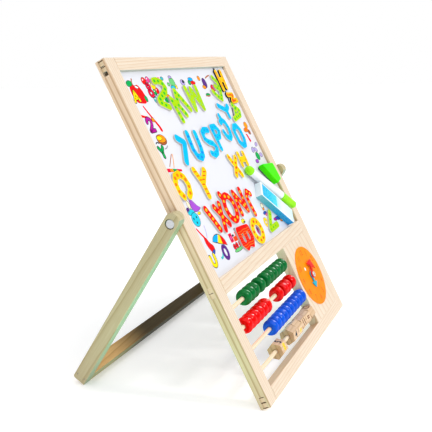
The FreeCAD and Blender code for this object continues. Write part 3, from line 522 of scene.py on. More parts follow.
spot = carton.ramp(vor.outputs["Distance"], [(0.0, (1, 1, 1)), (0.06, (1, 1, 1)), (0.08, (0, 0, 0))])
pick = carton.mix(0.5, vor.outputs["Color"], (0.9, 0.35, 0.25))
body_c = carton.mix(carton.math("MULTIPLY", spot, 0.75), body_c, pick)
body_c = carton.mix(carton.ramp(mott, [(0.4, (0, 0, 0)), (0.8, (0.07, 0.07, 0.07))]), body_c, (0.95, 0.97, 0.98))
body_c = carton.mix(carton.math("MULTIPLY", carton.edge(0.0008), 0.5), body_c, (0.92, 0.95, 0.97))
carton.link(body_c, carton.b.inputs["Base Color"])
carton.link(carton.ramp(mott, [(0.3, (0.24,) * 3), (0.8, (0.36,) * 3)]), carton.b.inputs["Roughness"])
carton.link(carton.bump(mott, 0.15, 0.00005), carton.b.inputs["Normal"])
carton.set("Specular IOR Level", 0.15)
carton_white = carton.m


def dress(node, mat):
    o = nodes[node]
    o.data.materials.clear()
    o.data.materials.append(mat)
    return o


for k, mt in wood_of.items():
    dress(k, mt)
dress("whiteboard_panel", white_sheet.m)
dress("chalkboard_panel", chalk.m)
dress("clock_dial", orange_dial)
dress("clock_pin", pin_metal)
dress("hour_hand", hand_blue)
dress("minute_hand", hand_red)
for k in ("pivot_bolt_left", "pivot_bolt_right", "pivot_inserts", "pivot_washers"):
    dress(k, steel)
dress("cross_bar_nails", nail_metal)
dress("marker_barrel", marker_white)
dress("marker_nib", nib_felt)
dress("marker_end_plug", marker_lime)
dress("marker_cap", marker_lime)
dress("eraser_grip", eraser_green)
dress("eraser_felt", eraser_black)
dress("chalk_carton", carton_white)
for k in nodes:
    if "magnet" in k:
        dress(k, {"lime": lime_m, "cyan": cyan_m, "yellow": yellow_m, "red": red_m}[k.split("_")[0]])


dress("yellow_magnets_right", yellow_shadow_edge_m)


def soften(node, width, segments=3, angle=35.0):
    """Rounds a CAD node's sharp edges with modifiers; its mesh is left alone."""
    o = nodes[node]
    w = o.modifiers.new("weld", "WELD")
    w.merge_threshold = 2e-6
    b = o.modifiers.new("round", "BEVEL")
    b.width = width
    b.segments = segments
    b.limit_method = "ANGLE"
    b.angle_limit = math.radians(angle)
    b.use_clamp_overlap = True
    n = o.modifiers.new("normals", "WEIGHTED_NORMAL")
    n.keep_sharp = False
    return o


for k in nodes:
    if "magnet" in k:
        soften(k, 0.0005)
for k in ("hour_hand", "minute_hand"):
    soften(k, 0.0003)
for i in range(1, 7):
    soften("number_block_%d" % i, 0.0009)
soften("eraser_grip", 0.0006)
soften("chalk_carton", 0.0003)


# ---------------------------------------------------------------- mesh helpers (board millimetres)
def make(name, verts, faces, mats, index=None, matrix=BOARD, smooth=None):
    me = bpy.data.meshes.new(name)
    me.from_pydata([tuple(matrix @ Vector(p)) for p in verts], [], faces)
    for mt in mats:
        me.materials.append(mt)
    if index:
        me.polygons.foreach_set("material_index", index)
    bm = bmesh.new()
    bm.from_mesh(me)
    bmesh.ops.recalc_face_normals(bm, faces=bm.faces)
    bm.to_mesh(me)
    bm.free()
    if smooth is not None:
        me.polygons.foreach_set("use_smooth", [True] * len(me.polygons))
        me.set_sharp_from_angle(angle=math.radians(smooth))
    me.update()
    o = bpy.data.objects.new(name, me)
    scene.collection.objects.link(o)
    return o


class Sheet:
    """Collects thin closed printed shapes on a plane, by colour."""

    def __init__(self, name, y, step=0.03, root=0.12):
        self.name, self.y, self.step, self.root = name, y, step, root
        self.line = 0
        self.kx, self.dx = 1.0, 0.0
        self.v, self.f, self.i, self.mats = [], [], [], []

    def slot(self, mat):
        if mat not in self.mats:
            self.mats.append(mat)
        return self.mats.index(mat)

    def poly(self, pts, mat, layer=1):
        pts = [(p[0] * self.kx + self.dx, p[1]) for p in pts]
        n, k = len(pts), len(self.v)
        front = self.y - self.step * layer
        back = self.y + self.root
        self.v += [(p[0], front, p[1]) for p in pts] + [(p[0], back, p[1]) for p in pts]
        self.f.append(tuple(range(k, k + n)))
        self.f.append(tuple(range(k + 2 * n - 1, k + n - 1, -1)))
        for j in range(n):
            a = (j + 1) % n
            self.f.append((k + j, k + n + j, k + n + a, k + a))
        self.i += [self.slot(mat)] * (n + 2)

    def ellipse(self, x, z, rx, rz, mat, layer=1, turn=0.0, n=28, a0=0.0, a1=360.0, line=None):
        line = self.line if line is None else line
        if line and mat is not INK["black"] and min(rx, rz) > 1.2:
            self.ellipse(x, z, rx + line, rz + line, INK["black"], layer, turn, n, a0, a1, 0)
            self.ellipse(x, z, rx, rz, mat, layer + 0.5, turn, n, a0, a1, 0)
            return
        t = math.radians(turn)
        pts = []
        full = abs(a1 - a0) >= 359.9
        m = n if full else n + 1
        for j in range(m):
            a = math.radians(a0 + (a1 - a0) * j / n)
            px, pz = rx * math.cos(a), rz * math.sin(a)
            pts.append((x + px * math.cos(t) - pz * math.sin(t), z + px * math.sin(t) + pz * math.cos(t)))
        self.poly(pts, mat, layer)

    def stroke(self, line, r, mat, layer=1, r1=None):
        """A round-ended band along a line; its half width runs from r to r1."""
        r1 = r if r1 is None else r1
        line = smooth_line(line) if len(line) > 2 else line
        n = len(line)
        left, right = [], []
        for j, p in enumerate(line):
            a = line[max(0, j - 1)]
            b = line[min(n - 1, j + 1)]
            dx, dz = b[0] - a[0], b[1] - a[1]
            d = math.hypot(dx, dz) or 1.0
            w = r + (r1 - r) * j / (n - 1)
            left.append((p[0] - dz / d * w, p[1] + dx / d * w))
            right.append((p[0] + dz / d * w, p[1] - dx / d * w))
        cap = []
        a, b = line[-2], line[-1]
        t0 = math.atan2(b[1] - a[1], b[0] - a[0])
        for j in range(1, 6):
            t = t0 + math.pi / 2 - math.pi * j / 6
            cap.append((b[0] + r1 * math.cos(t), b[1] + r1 * math.sin(t)))
        tail = []
        a, b = line[1], line[0]
        t0 = math.atan2(b[1] - a[1], b[0] - a[0])
        for j in range(1, 6):
            t = t0 + math.pi / 2 - math.pi * j / 6
            tail.append((b[0] + r * math.cos(t), b[1] + r * math.sin(t)))
        self.poly(left + cap + right[::-1] + tail, mat, layer)

    def glyph(self, text, x, z, size, mat, layer=1, turn=0.0, outline=None, fat=0.0, matrix=None, squeeze=1.0):
        for grow, mt, ly in (((fat + 1.3, outline, layer),) if outline else ()) + ((fat, mat, layer + 1 if outline else layer),):
            cu = bpy.data.curves.new("glyph", "FONT")
            cu.body = text
            cu.size = size
            cu.align_x, cu.align_y = "CENTER", "CENTER"
            cu.offset = grow
            cu.resolution_u = 4
            cu.extrude = 0.5
            ob = bpy.data.objects.new("glyph", cu)
            scene.collection.objects.link(ob)
            me = bpy.data.meshes.new_from_object(ob)
            bm = bmesh.new()
            bm.from_mesh(me)
            bmesh.ops.remove_doubles(bm, verts=bm.verts, dist=1e-4)
            k = len(self.v)
            t = math.radians(turn)
            ct, st = math.cos(t), math.sin(t)
            for vtx in bm.verts:
                px, pz = vtx.co.x * squeeze, vtx.co.y
                y = self.y - self.step * ly if vtx.co.z > 0 else self.y + self.root
                self.v.append((x * self.kx + self.dx + px * ct - pz * st, y, z + px * st + pz * ct))
            bm.verts.index_update()
            for fc in bm.faces:
                self.f.append(tuple(k + q.index for q in fc.verts))
                self.i.append(self.slot(mt))
            bm.free()
            bpy.data.objects.remove(ob)
            bpy.data.meshes.remove(me)
            bpy.data.curves.remove(cu)

    def done(self, body, matrix=BOARD):
        o = make(self.name, self.v, self.f, self.mats, self.i, matrix)
        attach(o, body)
        return o


def smooth_line(pts, sub=6):
    """Catmull-Rom through the points."""
    out = []
    n = len(pts)
    for i in range(n - 1):
        p0 = pts[max(0, i - 1)]
        p1, p2 = pts[i], pts[i + 1]
        p3 = pts[min(n - 1, i + 2)]
        for j in range(sub):
            t = j / sub
            out.append(tuple(0.5 * (2 * p1[q] + (p2[q] - p0[q]) * t + (2 * p0[q] - 5 * p1[q] + 4 * p2[q] - p3[q]) * t * t
                                    + (3 * p1[q] - p0[q] - 3 * p2[q] + p3[q]) * t ** 3) for q in (0, 1)))
    out.append(pts[-1])
    return out


INK = {
    "red": ink("ink_red", srgb(242, 10, 14)), "crimson": ink("ink_crimson", srgb(225, 0, 60)),
    "pink": ink("ink_pink", srgb(250, 70, 150)), "magenta": ink("ink_magenta", srgb(180, 20, 150)),
    "yellow": ink("ink_yellow", srgb(255, 222, 0)), "orange": ink("ink_orange", srgb(255, 150, 10)),
    "brown": ink("ink_brown", srgb(170, 90, 40)), "green": ink("ink_green", srgb(0, 165, 80)),
    "pale_green": ink("ink_pale_green", srgb(110, 200, 120)), "cyan": ink("ink_cyan", srgb(30, 200, 225)),
    "sky": ink("ink_sky", srgb(0, 170, 240)), "blue": ink("ink_blue", srgb(40, 80, 180)),
    "purple": ink("ink_purple", srgb(165, 80, 205)), "violet": ink("ink_violet", srgb(90, 40, 130)),
    "lilac": ink("ink_lilac", srgb(175, 160, 215)), "black": ink("ink_black", srgb(28, 26, 34)),
    "grey": ink("ink_grey", srgb(150, 150, 160)), "cream": ink("ink_cream", srgb(250, 235, 200)),
    "dot_green": ink("dot_green", srgb(20, 185, 40)), "dot_blue": ink("dot_blue", srgb(0, 125, 225)),
    "dot_orange": ink("dot_orange", srgb(250, 120, 8)), "dot_red": ink("dot_red", srgb(245, 70, 10)),
    "dot_yellow": ink("dot_yellow", srgb(255, 190, 5)), "digit": ink("digit_orange", srgb(252, 96, 6)),
    "print_brown": ink("print_brown", srgb(120, 70, 45)), "print_yellow": ink("print_yellow", srgb(250, 205, 20)),
    "teal": ink("ink_teal", srgb(50, 185, 190)), "white": ink("ink_white", srgb(245, 245, 245)),
    "navy": ink("ink_navy", srgb(20, 34, 58)),
}


def print_board():
    """Generic pictures round the whiteboard's border."""
    s = Sheet("whiteboard_prints", FACE)
    s.line = 0.6
    s.kx, s.dx = 1.025, 5.0
    K = INK

    def blob(pts, mat, layer=1, line=0.55):
        pts = smooth_line(list(pts) + [pts[0]], 5)[:-1]
        cx = sum(p[0] for p in pts) / len(pts)
        cz = sum(p[1] for p in pts) / len(pts)
        if line:
            out = []
            for p in pts:
                d = math.hypot(p[0] - cx, p[1] - cz) or 1.0
                out.append((p[0] + (p[0] - cx) / d * line, p[1] + (p[1] - cz) / d * line))
            s.poly(out, K["black"], layer)
            layer += 1
        s.poly(pts, mat, layer)

    def letter(lines, r, mat, layer=3, rim=0.85):
        for ln in lines:
            s.stroke(ln, r + rim, K["black"], layer)
        for ln in lines:
            s.stroke(ln, r, mat, layer + 1)

    # apple with a letter
    s.stroke([(33, 369), (33.5, 373), (36, 376.5)], 0.9, K["brown"], 1)
    s.ellipse(27, 371.2, 5.6, 3.2, K["green"], 2, 10)
    blob([(24, 366), (30, 371.5), (36, 368.5), (42, 369), (47, 362), (48.5, 353), (44, 347), (36, 347), (27, 349), (23, 357)], K["red"], 1, 0.0)
    s.ellipse(38.5, 366.5, 3.2, 1.3, K["white"], 3, -15)
    s.ellipse(47.5, 352.0, 2.4, 3.4, K["green"], 3)
    letter([[(23.0, 350.0), (28.8, 362.0)], [(28.8, 362.0), (33.4, 350.6)], [(25.6, 353.6), (31.6, 353.9)]], 1.6, K["yellow"])
    # ribbon and a digit
    s.stroke([(34, 343.5), (38, 335), (43, 326), (47, 319), (48.5, 314)], 1.1, K["red"], 2, 2.3)
    s.stroke([(21.5, 333), (28, 331.5), (34, 330), (40, 325)], 1.6, K["red"], 2, 1.0)
    s.ellipse(41, 327, 2.8, 2.2, K["orange"], 3, -30)
    letter([[(25.8, 325.2), (28.2, 328.8), (32.6, 328.8), (34.8, 325.4), (32.6, 320.6), (26.2, 314.8)], [(26.2, 314.8), (35.6, 315.0)]], 1.8, K["magenta"])
    # drum and sticks
    s.ellipse(39, 303, 9.4, 5.6, K["brown"], 1, -8)
    s.ellipse(38.6, 304.6, 9.0, 4.6, K["orange"], 2, -8)
    s.ellipse(35.5, 305.6, 5.0, 2.4, K["yellow"], 3, -6)
    s.stroke([(24, 300.5), (27, 301.5), (30, 300)], 0.7, K["black"], 1)
    s.stroke([(37, 292.5), (41, 293), (45, 295)], 0.7, K["grey"], 1)
    letter([[(28.6, 284.2), (28.6, 289.6)], [(28.6, 289.6), (24.2, 295.4)], [(28.6, 289.6), (33.2, 295.4)]], 1.75, K["green"])
    s.stroke([(29.5, 272.5), (37, 279), (44.5, 285)], 0.6, K["brown"], 1)
    s.stroke([(37, 270), (42, 277), (46.5, 284.5)], 0.6, K["orange"], 1)
    # striped band
    s.poly([(20.5, 271.5), (27, 270.5), (27, 266.3), (20.5, 267)], K["crimson"], 1)
    s.poly([(27, 270.5), (33, 269.3), (33, 265.3), (27, 266.3)], K["orange"], 1)
    s.poly([(33, 269.3), (41, 267.8), (41, 264.3), (33, 265.3)], K["green"], 1)
    s.poly([(41, 267.8), (51, 265.8), (51, 263.3), (41, 264.3)], K["crimson"], 1)
    # a bell flower over a spotted ball
    s.stroke([(37, 241), (36, 236), (36.5, 231)], 0.9, K["pale_green"], 1)
    blob([(36.5, 234), (41, 229.5), (46, 223), (52, 218.5), (43, 216.5), (35.5, 218), (33.5, 224)], K["purple"], 1)
    s.ellipse(24, 221.5, 3.4, 2.4, K["violet"], 1, 20)
    s.ellipse(30, 227, 2.6, 4.6, K["cream"], 1, 10)
    s.ellipse(44, 213.5, 3.2, 1.3, K["yellow"], 1)
    s.ellipse(28.5, 218, 7.2, 3.2, K["cyan"], 1, -4)
    s.ellipse(31.3, 208.8, 8.6, 8.3, K["black"], 1)
    s.ellipse(31.3, 208.8, 8.0, 7.8, K["cyan"], 2)
    for q in ((27.5, 210.5), (34.5, 211), (31, 205.2)):
        s.ellipse(q[0], q[1], 1.1, 1.4, K["navy"], 3)
    # a fiddle and a letter
    s.stroke([(23, 199.5), (27, 193), (31.5, 186)], 1.0, K["red"], 1, 1.6)
    s.stroke([(41.5, 199), (39.5, 192), (36.5, 186)], 0.6, K["lilac"], 1)
    blob([(29, 186), (34, 185.5), (36, 180), (41, 174.5), (40, 169), (34.5, 168.5), (31, 173), (28.5, 180)], K["red"], 1)
    s.ellipse(36.5, 168.6, 3.4, 1.8, K["blue"], 3, 25)
    letter([[(22.8, 166.0), (22.8, 159.4), (25.2, 155.4), (29.2, 155.2), (32.0, 159.2), (32.6, 166.2)]], 2.0, K["yellow"])
    # umbrella over a ring
    a0 = [(44, 178.3), (48, 182), (54, 184.2), (61, 183.6)]
    s.stroke([(62.5, 170), (56, 164.5), (50.5, 158.5), (47, 158)], 0.9, K["teal"], 1, 1.6)
    s.poly(smooth_line([(43.4, 178.5), (48, 182.8), (55, 184.6), (62, 183.6), (68, 179.6), (71.8, 173.6), (72.6, 166.4)], 4)
           + smooth_line([(72.6, 166.4), (66, 169.2), (60, 171.2), (52, 174.6), (43.4, 178.5)], 3)[1:-1], K["black"], 1)
    s.poly(smooth_line([(44.4, 178.6), (48.4, 182.2), (54.6, 183.8), (61.5, 183.0)], 4) + [(54, 175.2)], K["sky"], 2)
    s.poly([(61.5, 183.0), (64.5, 181.5), (63, 171), (57.5, 173.2), (54, 175.2)], K["yellow"], 2)
    s.poly(smooth_line([(64.5, 181.5), (68, 178.8), (71.2, 173.4), (72.0, 167.4)], 4) + [(67, 169.3), (63, 171)], K["red"], 2)
    ringpts = [(60.8 + 5.2 * math.cos(math.radians(a)), 161.2 + 7.2 * math.sin(math.radians(a))) for a in range(100, 440, 20)]
    s.stroke(ringpts, 2.5, K["violet"], 3)
    # a little train on grass
    s.ellipse(95, 155.2, 12.0, 1.9, K["pale_green"], 1)
    s.poly([(84, 166), (92, 166), (92, 177), (84, 177)], K["crimson"], 1)
    s.poly([(93, 165), (107, 165), (107, 176), (101, 176), (101, 171), (93, 171)], K["dot_red"], 1)
    s.poly([(92.5, 171.5), (97, 171.5), (97, 174), (92.5, 174)], K["navy"], 2)
    s.ellipse(88, 171.5, 2.2, 2.6, K["pink"], 2)
    for q in (87, 94, 103):
        s.ellipse(q, 160.5, 3.1, 3.1, K["red"], 2)
        s.ellipse(q, 160.5, 1.2, 1.2, K["navy"], 3)
    s.ellipse(106, 177.5, 2.6, 1.6, K["navy"], 2)
    # balloons and a digit
    for x, z, r, c in ((60, 373, 4.6, "red"), (69.5, 374.2, 3.8, "pink"), (75.5, 366.5, 4.8, "yellow"), (79.5, 360, 3.9, "red"),
                       (73.5, 358.5, 3.6, "green"), (67.5, 349.5, 4.0, "teal"), (72.5, 352.2, 2.6, "lilac")):
        s.ellipse(x, z, r, r * 0.92, K[c], 1, 20)
        s.ellipse(x - r * 0.3, z + r * 0.35, r * 0.3, r * 0.2, K["white"], 2, 30)
    letter([[(64 + 3.1 * math.cos(math.radians(a)), 366.0 + 3.0 * math.sin(math.radians(a))) for a in range(90, 460, 24)],
            [(64 + 3.9 * math.cos(math.radians(a)), 357.8 + 3.9 * math.sin(math.radians(a))) for a in range(90, 460, 24)]], 1.6, K["crimson"], 3, 0.75)
    # tree, mushroom, beetle, duck, ball, small things along the top
    s.ellipse(124.5, 368.5, 6.2, 6.4, K["pale_green"], 1)
    s.ellipse(113.5, 366.5, 2.8, 2.0, K["pale_green"], 1)
    s.ellipse(124, 375.6, 3.6, 1.6, K["lilac"], 2)
    s.ellipse(120.8, 362, 5.4, 2.3, K["cyan"], 2)
    s.ellipse(130, 362.5, 1.8, 2.6, K["yellow"], 2)
    s.ellipse(151.2, 367.5, 5.2, 3.6, K["lilac"], 1)
    s.ellipse(153.6, 368.6, 2.6, 1.6, K["navy"], 2, 10)
    s.ellipse(103.5, 374.5, 3.0, 2.0, K["teal"], 1)
    s.ellipse(95.5, 375.4, 2.6, 1.2, K["pink"], 1)
    s.ellipse(92, 347.5, 4.6, 3.0, K["green"], 1)
    s.ellipse(99, 352.2, 3.8, 1.5, K["orange"], 1, 8)
    s.ellipse(175.5, 370.8, 6.2, 2.3, K["sky"], 1)
    s.ellipse(169.5, 366.6, 3.6, 2.7, K["green"], 2, 20)
    s.ellipse(179, 365.8, 6.2, 2.4, K["red"], 2)
    s.ellipse(201, 371.3, 3.6, 3.0, K["orange"], 1)
    s.ellipse(212.3, 364.2, 5.4, 6.8, K["violet"], 1, -10)
    s.ellipse(206, 358.5, 4.6, 2.4, K["orange"], 2)
    s.ellipse(206.5, 347.3, 6.2, 2.0, K["green"], 1)
    s.stroke([(199, 346), (212, 345.5)], 0.5, K["crimson"], 2)
    s.stroke([(222, 371), (229, 373.2), (236, 374.5)], 0.9, K["brown"], 1)
    s.ellipse(231, 356, 6.0, 4.6, K["crimson"], 1)
    s.stroke([(227, 350), (223.5, 344.5)], 1.1, K["lilac"], 1)
    # flower pot and butterfly down the right side
    s.ellipse(279.5, 295.5, 5.8, 4.8, K["orange"], 1, 20)
    s.ellipse(273.5, 289, 7.5, 2.9, K["dot_orange"], 2)
    s.ellipse(281.5, 285.0, 3.8, 3.4, K["brown"], 1)
    s.poly([(266, 284), (271, 283), (274.5, 272), (269, 270.5)], K["crimson"], 1)
    s.ellipse(265.5, 259.5, 5.0, 3.4, K["lilac"], 1, 20)
    s.ellipse(275, 258.5, 5.2, 2.6, K["lilac"], 1, -20)
    s.ellipse(284.5, 265.5, 4.6, 2.4, K["lilac"], 1, 15)
    s.ellipse(262, 242.5, 5.2, 2.5, K["purple"], 1)
    s.ellipse(285, 249, 4.4, 3.0, K["lilac"], 1)
    s.ellipse(272, 249, 6.4, 6.0, K["black"], 1)
    s.ellipse(272, 249, 6.0, 5.6, K["green"], 2)
    # small shapes near the lower right
    s.ellipse(209.5, 185.5, 3.6, 3.4, K["cream"], 1)
    s.ellipse(209.5, 181, 2.8, 1.6, K["orange"], 2)
    s.ellipse(208.5, 175.5, 5.4, 1.9, K["blue"], 1)
    s.ellipse(212.0, 172.4, 3.4, 1.8, K["pink"], 2)
    ro = [(198.8 + 4.2 * math.cos(math.radians(a)), 164.4 + 4.6 * math.sin(math.radians(a))) for a in range(100, 440, 20)]
    s.stroke(ro, 2.3, K["brown"], 1)
    s.stroke(ro, 1.7, K["yellow"], 2)
    s.ellipse(232, 160.8, 5.6, 1.8, K["magenta"], 1, -8)
    s.ellipse(240.5, 160.2, 7.0, 2.2, K["blue"], 2, -14)
    s.ellipse(250, 155.2, 4.4, 1.6, K["orange"], 2, -6)
    s.ellipse(137, 181.0, 5.0, 2.6, K["yellow"], 1, -6)
    s.ellipse(139, 179.6, 2.6, 1.0, K["navy"], 2, -6)
    s.ellipse(168.2, 161.6, 6.4, 6.6, K["magenta"], 1)
    s.ellipse(166.6, 163.4, 2.4, 1.8, K["violet"], 2)
    s.ellipse(121.5, 164.5, 3.2, 3.6, K["lilac"], 1)
    s.ellipse(137.2, 163.4, 3.2, 3.8, K["brown"], 1)
    # a long wavy dark navy line
    s.stroke([(262, 383), (258.5, 374), (262.5, 364), (263.5, 353), (266.2, 345), (263, 336), (261.5, 326), (257.5, 317), (251, 309)],
             2.6, K["navy"], 4, 1.4)
    s.done("board")


print_board()


# ---------------------------------------------------------------- printed dots on the letters
LETTER_TOP = FACE - 0.02 - 2.4


def walk(line, start, step):
    """Points every step along a line."""
    out, left = [], start
    for a, b in zip(line[:-1], line[1:]):
        d = math.hypot(b[0] - a[0], b[1] - a[1])
        t = left
        while t <= d:
            out.append((a[0] + (b[0] - a[0]) * t / d, a[1] + (b[1] - a[1]) * t / d, math.atan2(b[1] - a[1], b[0] - a[0])))
            t += step
        left = t - d
    return out


def dots(sheet, line, mat, r, step, start=1.0, flat=0.85, turn=0.0):
    for x, z, a in walk(line, start, step):
        k = 1.0 + random.uniform(-0.1, 0.1)
        sheet.ellipse(x + random.uniform(-0.3, 0.3), z + random.uniform(-0.3, 0.3), r * k, r * flat * k, mat, 1, turn, 16)


def dashes(sheet, line, mat, length, r, step, turn, start=2.0):
    for x, z, a in walk(line, start, step):
        t = math.radians(turn)
        dx, dz = math.cos(t) * length / 2, math.sin(t) * length / 2
        sheet.stroke([(x - dx, z - dz), (x + dx, z + dz)], r, mat, 1)


def ring(cx, cz, rx, rz, step=20):
    return [(cx + rx * math.cos(math.radians(a)), cz + rz * math.sin(math.radians(a))) for a in range(0, 361, step)]


s = Sheet("lime_prints", LETTER_TOP)
dots(s, [(84, 371), (92, 371.5), (101, 368.5), (104, 363), (100, 357.5), (90, 353), (77, 347), (76.5, 345), (93, 338)], INK["dot_green"], 2.4, 8.4, 2.0)
dots(s, [(110, 319.5), (105.5, 347)], INK["dot_green"], 2.1, 8.2, 1.0)
dots(s, [(117, 338.5), (123.5, 356.5)], INK["dot_green"], 2.1, 8.2, 0.0)
dots(s, [(123.5, 356.5), (142, 331.5)], INK["dot_green"], 2.1, 8.6, 8.0)
dots(s, [(117, 338.5), (125.5, 325.5)], INK["dot_green"], 2.1, 7.0, 7.0)
for ln in ([(154, 358.5), (156.5, 330)], [(156.5, 330), (168, 357)], [(168, 357), (180.5, 330)], [(180.5, 330), (184, 358.5)]):
    dots(s, ln, INK["pale_green"], 1.3, 9.0, 4.0)
dots(s, [(250, 370), (257.5, 363.5), (256.5, 350.5), (248.5, 338), (240, 342), (231, 350)], INK["dot_green"], 1.9, 7.6, 1.0)
dots(s, [(256.5, 350.5), (246, 357)], INK["dot_green"], 1.9, 8.0, 7.0)
dots(s, [(272.5, 327.5), (288, 318), (283.5, 311.5), (259, 307.5)], INK["dot_green"], 2.2, 8.0, 1.0)
dots(s, [(269, 309.5), (278, 324)], INK["dot_green"], 2.0, 7.0, 7.5)
dots(s, [(229, 173), (208.5, 153), (236, 154)], INK["dot_green"], 1.6, 9.0, 3.0)
s.done("lime_magnets")

s = Sheet("cyan_prints", LETTER_TOP)
dots(s, [(104, 303), (101, 283), (104.5, 273.5), (111.5, 270.8), (118.5, 274), (122, 283), (124, 301)], INK["dot_blue"], 2.3, 8.8, 4.0, 0.7)
dots(s, [(161, 301.5), (151, 302.5), (143.5, 299), (142.5, 291.5), (149, 286.5), (159.5, 283), (163.5, 277), (159, 271), (150, 269), (143.5, 272)], INK["dot_blue"], 1.5, 8.2, 1.0, 0.7)
dots(s, [(175.5, 274.5), (174.5, 303.5), (186.5, 303.5), (191.5, 297), (186.5, 290), (175, 288.5)], INK["dot_blue"], 1.6, 8.0, 1.0, 0.6)
dots(s, [(206, 293.5), (209, 286.5), (216, 283.5), (222.5, 287.5), (225, 297), (222.5, 306), (215.5, 310.5), (208.5, 307)], INK["dot_blue"], 1.5, 8.6, 1.0, 0.6)
dots(s, [(226, 329.5), (245.5, 321.5), (246, 312.5)], INK["dot_blue"], 1.4, 8.4, 1.0, 0.6)
dots(s, [(238.5, 292), (245, 297.5), (254, 297.5), (259, 291), (259.5, 278), (254.5, 270), (246, 269.5), (239.5, 275.5)], INK["dot_blue"], 1.5, 9.0, 2.0, 0.6)
s.done("cyan_magnets")

s = Sheet("yellow_prints", LETTER_TOP)
dots(s, [(31, 236.5), (26, 243.5), (26.2, 253), (32, 260), (42, 261.3), (49.5, 256), (52, 247), (48.5, 238.5), (43, 235.3)], INK["dot_orange"], 2.5, 8.2, 0.5)
dashes(s, [(79, 259.5), (86, 243), (86.5, 226.5)], INK["dot_red"], 5.0, 0.7, 6.0, -8)
dashes(s, [(103, 255.5), (90, 245)], INK["dot_red"], 5.0, 0.7, 6.4, -8)
dots(s, [(184, 261), (199.5, 233.5)], INK["dot_red"], 2.0, 8.4, 1.0)
dots(s, [(203, 257.5), (182.5, 236)], INK["dot_red"], 2.0, 8.4, 1.0)
dots(s, [(216, 260.5), (214.5, 245.5)], INK["dot_orange"], 1.6, 8.0, 1.0)
dots(s, [(233, 259.5), (232, 244.5)], INK["dot_orange"], 1.6, 8.0, 1.0)
dots(s, ring(168.3, 161.6, 12.6, 12.9), INK["dot_red"], 2.3, 8.95, 3.0)
dots(s, [(270, 377.5), (269.5, 352)], INK["dot_orange"], 1.7, 6.4, 1.0)
dots(s, [(285.5, 377.5), (283, 354)], INK["dot_orange"], 1.7, 6.4, 1.0)
dots(s, [(274, 343), (290.5, 342), (281, 332.8), (297, 333.5)], INK["dot_red"], 2.2, 5.0, 1.0)
s.done("yellow_magnets")

s = Sheet("red_prints", LETTER_TOP)
dots(s, [(63.5, 214), (70, 200), (75.5, 187)], INK["dot_yellow"], 2.2, 6.8, 1.0)
dots(s, [(85, 212), (103.5, 186.5)], INK["dot_yellow"], 2.1, 8.0, 1.5)
dots(s, [(100, 213), (88, 183.5)], INK["dot_yellow"], 2.1, 7.8, 1.0)
dots(s, ring(124.5, 202.8, 12.6, 15.8), INK["dot_yellow"], 2.3, 9.9, 4.0)
dots(s, [(112, 222.5), (113, 221.0)], INK["dot_yellow"], 1.8, 9.0, 0.5)
dots(s, [(147, 190), (148.5, 218)], INK["dot_yellow"], 2.1, 8.2, 1.0)
dots(s, [(148.5, 218), (168, 190.5)], INK["dot_yellow"], 2.1, 8.4, 8.0)
dots(s, [(168, 190.5), (169.5, 218)], INK["dot_yellow"], 2.1, 8.4, 8.0)
dots(s, [(183.5, 181.5), (181.5, 206), (188.5, 211.8), (196, 207)], INK["dot_yellow"], 2.2, 8.2, 0.5)
for k in range(8):
    z = 172.6 - k * 2.9
    if k in (3, 4, 5):
        for x0, x1 in ((111.8, 117.2), (127.2, 132.2), (141.6, 147.0)):
            s.stroke([(x0, z), (x1, z - 0.3)], 0.45, INK["dot_red"], 1)
    else:
        s.stroke([(113.5, z), (121, z - 0.6), (130, z + 0.2), (138, z - 0.7), (144.5, z - 0.4)], 0.45, INK["dot_orange"], 1)
s.done("red_magnets")


# ---------------------------------------------------------------- glue lines round the tenon ends
glue = ink("glue_brown", srgb(88, 62, 34), 0.6)
verts, faces = [], []
for zc, y0, y1, h in ((12.6, 2.6, 8.6, 0.55), (6.6, 2.8, 8.8, 0.75), (0.9, 3.0, 9.4, 0.6), (398.4, 3.0, 8.8, 0.9), (391.6, 3.2, 8.6, 0.6)):
    k = len(verts)
    n = 10
    for side in (-0.03, 0.25):
        for j in range(n + 1):
            y = y0 + (y1 - y0) * j / n
            w = h / 2 * (1.0 + random.uniform(-0.35, 0.35))
            verts += [(side, y, zc - w), (side, y, zc + w)]
    m2 = 2 * (n + 1)
    for j in range(n):
        a = k + 2 * j
        faces += [(a, a + 1, a + 3, a + 2), (a + m2 + 2, a + m2 + 3, a + m2 + 1, a + m2),
                  (a + 1, a + m2 + 1, a + m2 + 3, a + 3), (a + 2, a + m2 + 2, a + m2, a)]
    faces += [(k, k + m2, k + m2 + 1, k + 1), (k + 2 * n + 1, k + m2 + 2 * n + 1, k + m2 + 2 * n, k + 2 * n)]
o = make("tenon_glue_lines", verts, faces, [glue])
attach(o, "board")

# ---------------------------------------------------------------- clock print
DX, DZ = 259.2, 69.8
s = Sheet("dial_print", -0.8, 0.03, 0.3)
for k in range(12):
    a = math.radians(90 - 30 * (k + 1))
    s.glyph(str(k + 1), DX + 32.5 * math.cos(a), DZ + 32.5 * math.sin(a), 10.5, INK["digit"], 1, 0, None, 0.25)
for k in range(60):
    a = math.radians(6 * k)
    r0, r1 = (38.2, 40.2) if k % 5 == 0 else (39.2, 40.2)
    w = 0.32 if k % 5 == 0 else 0.16
    s.stroke([(DX + r0 * math.cos(a), DZ + r0 * math.sin(a)), (DX + r1 * math.cos(a), DZ + r1 * math.sin(a))], w, INK["digit"], 1)
for q in ((-10.5, 12.0), (14.0, -2.0)):
    s.ellipse(DX + q[0], DZ + q[1], 2.3, 2.3, INK["white"], 1)
s.done("board")

# ---------------------------------------------------------------- beads
BEAD_L, BEAD_STEP, BEAD_R, BEAD_F, BEAD_H = 12.3, 12.6, 9.5, 6.9, 2.85


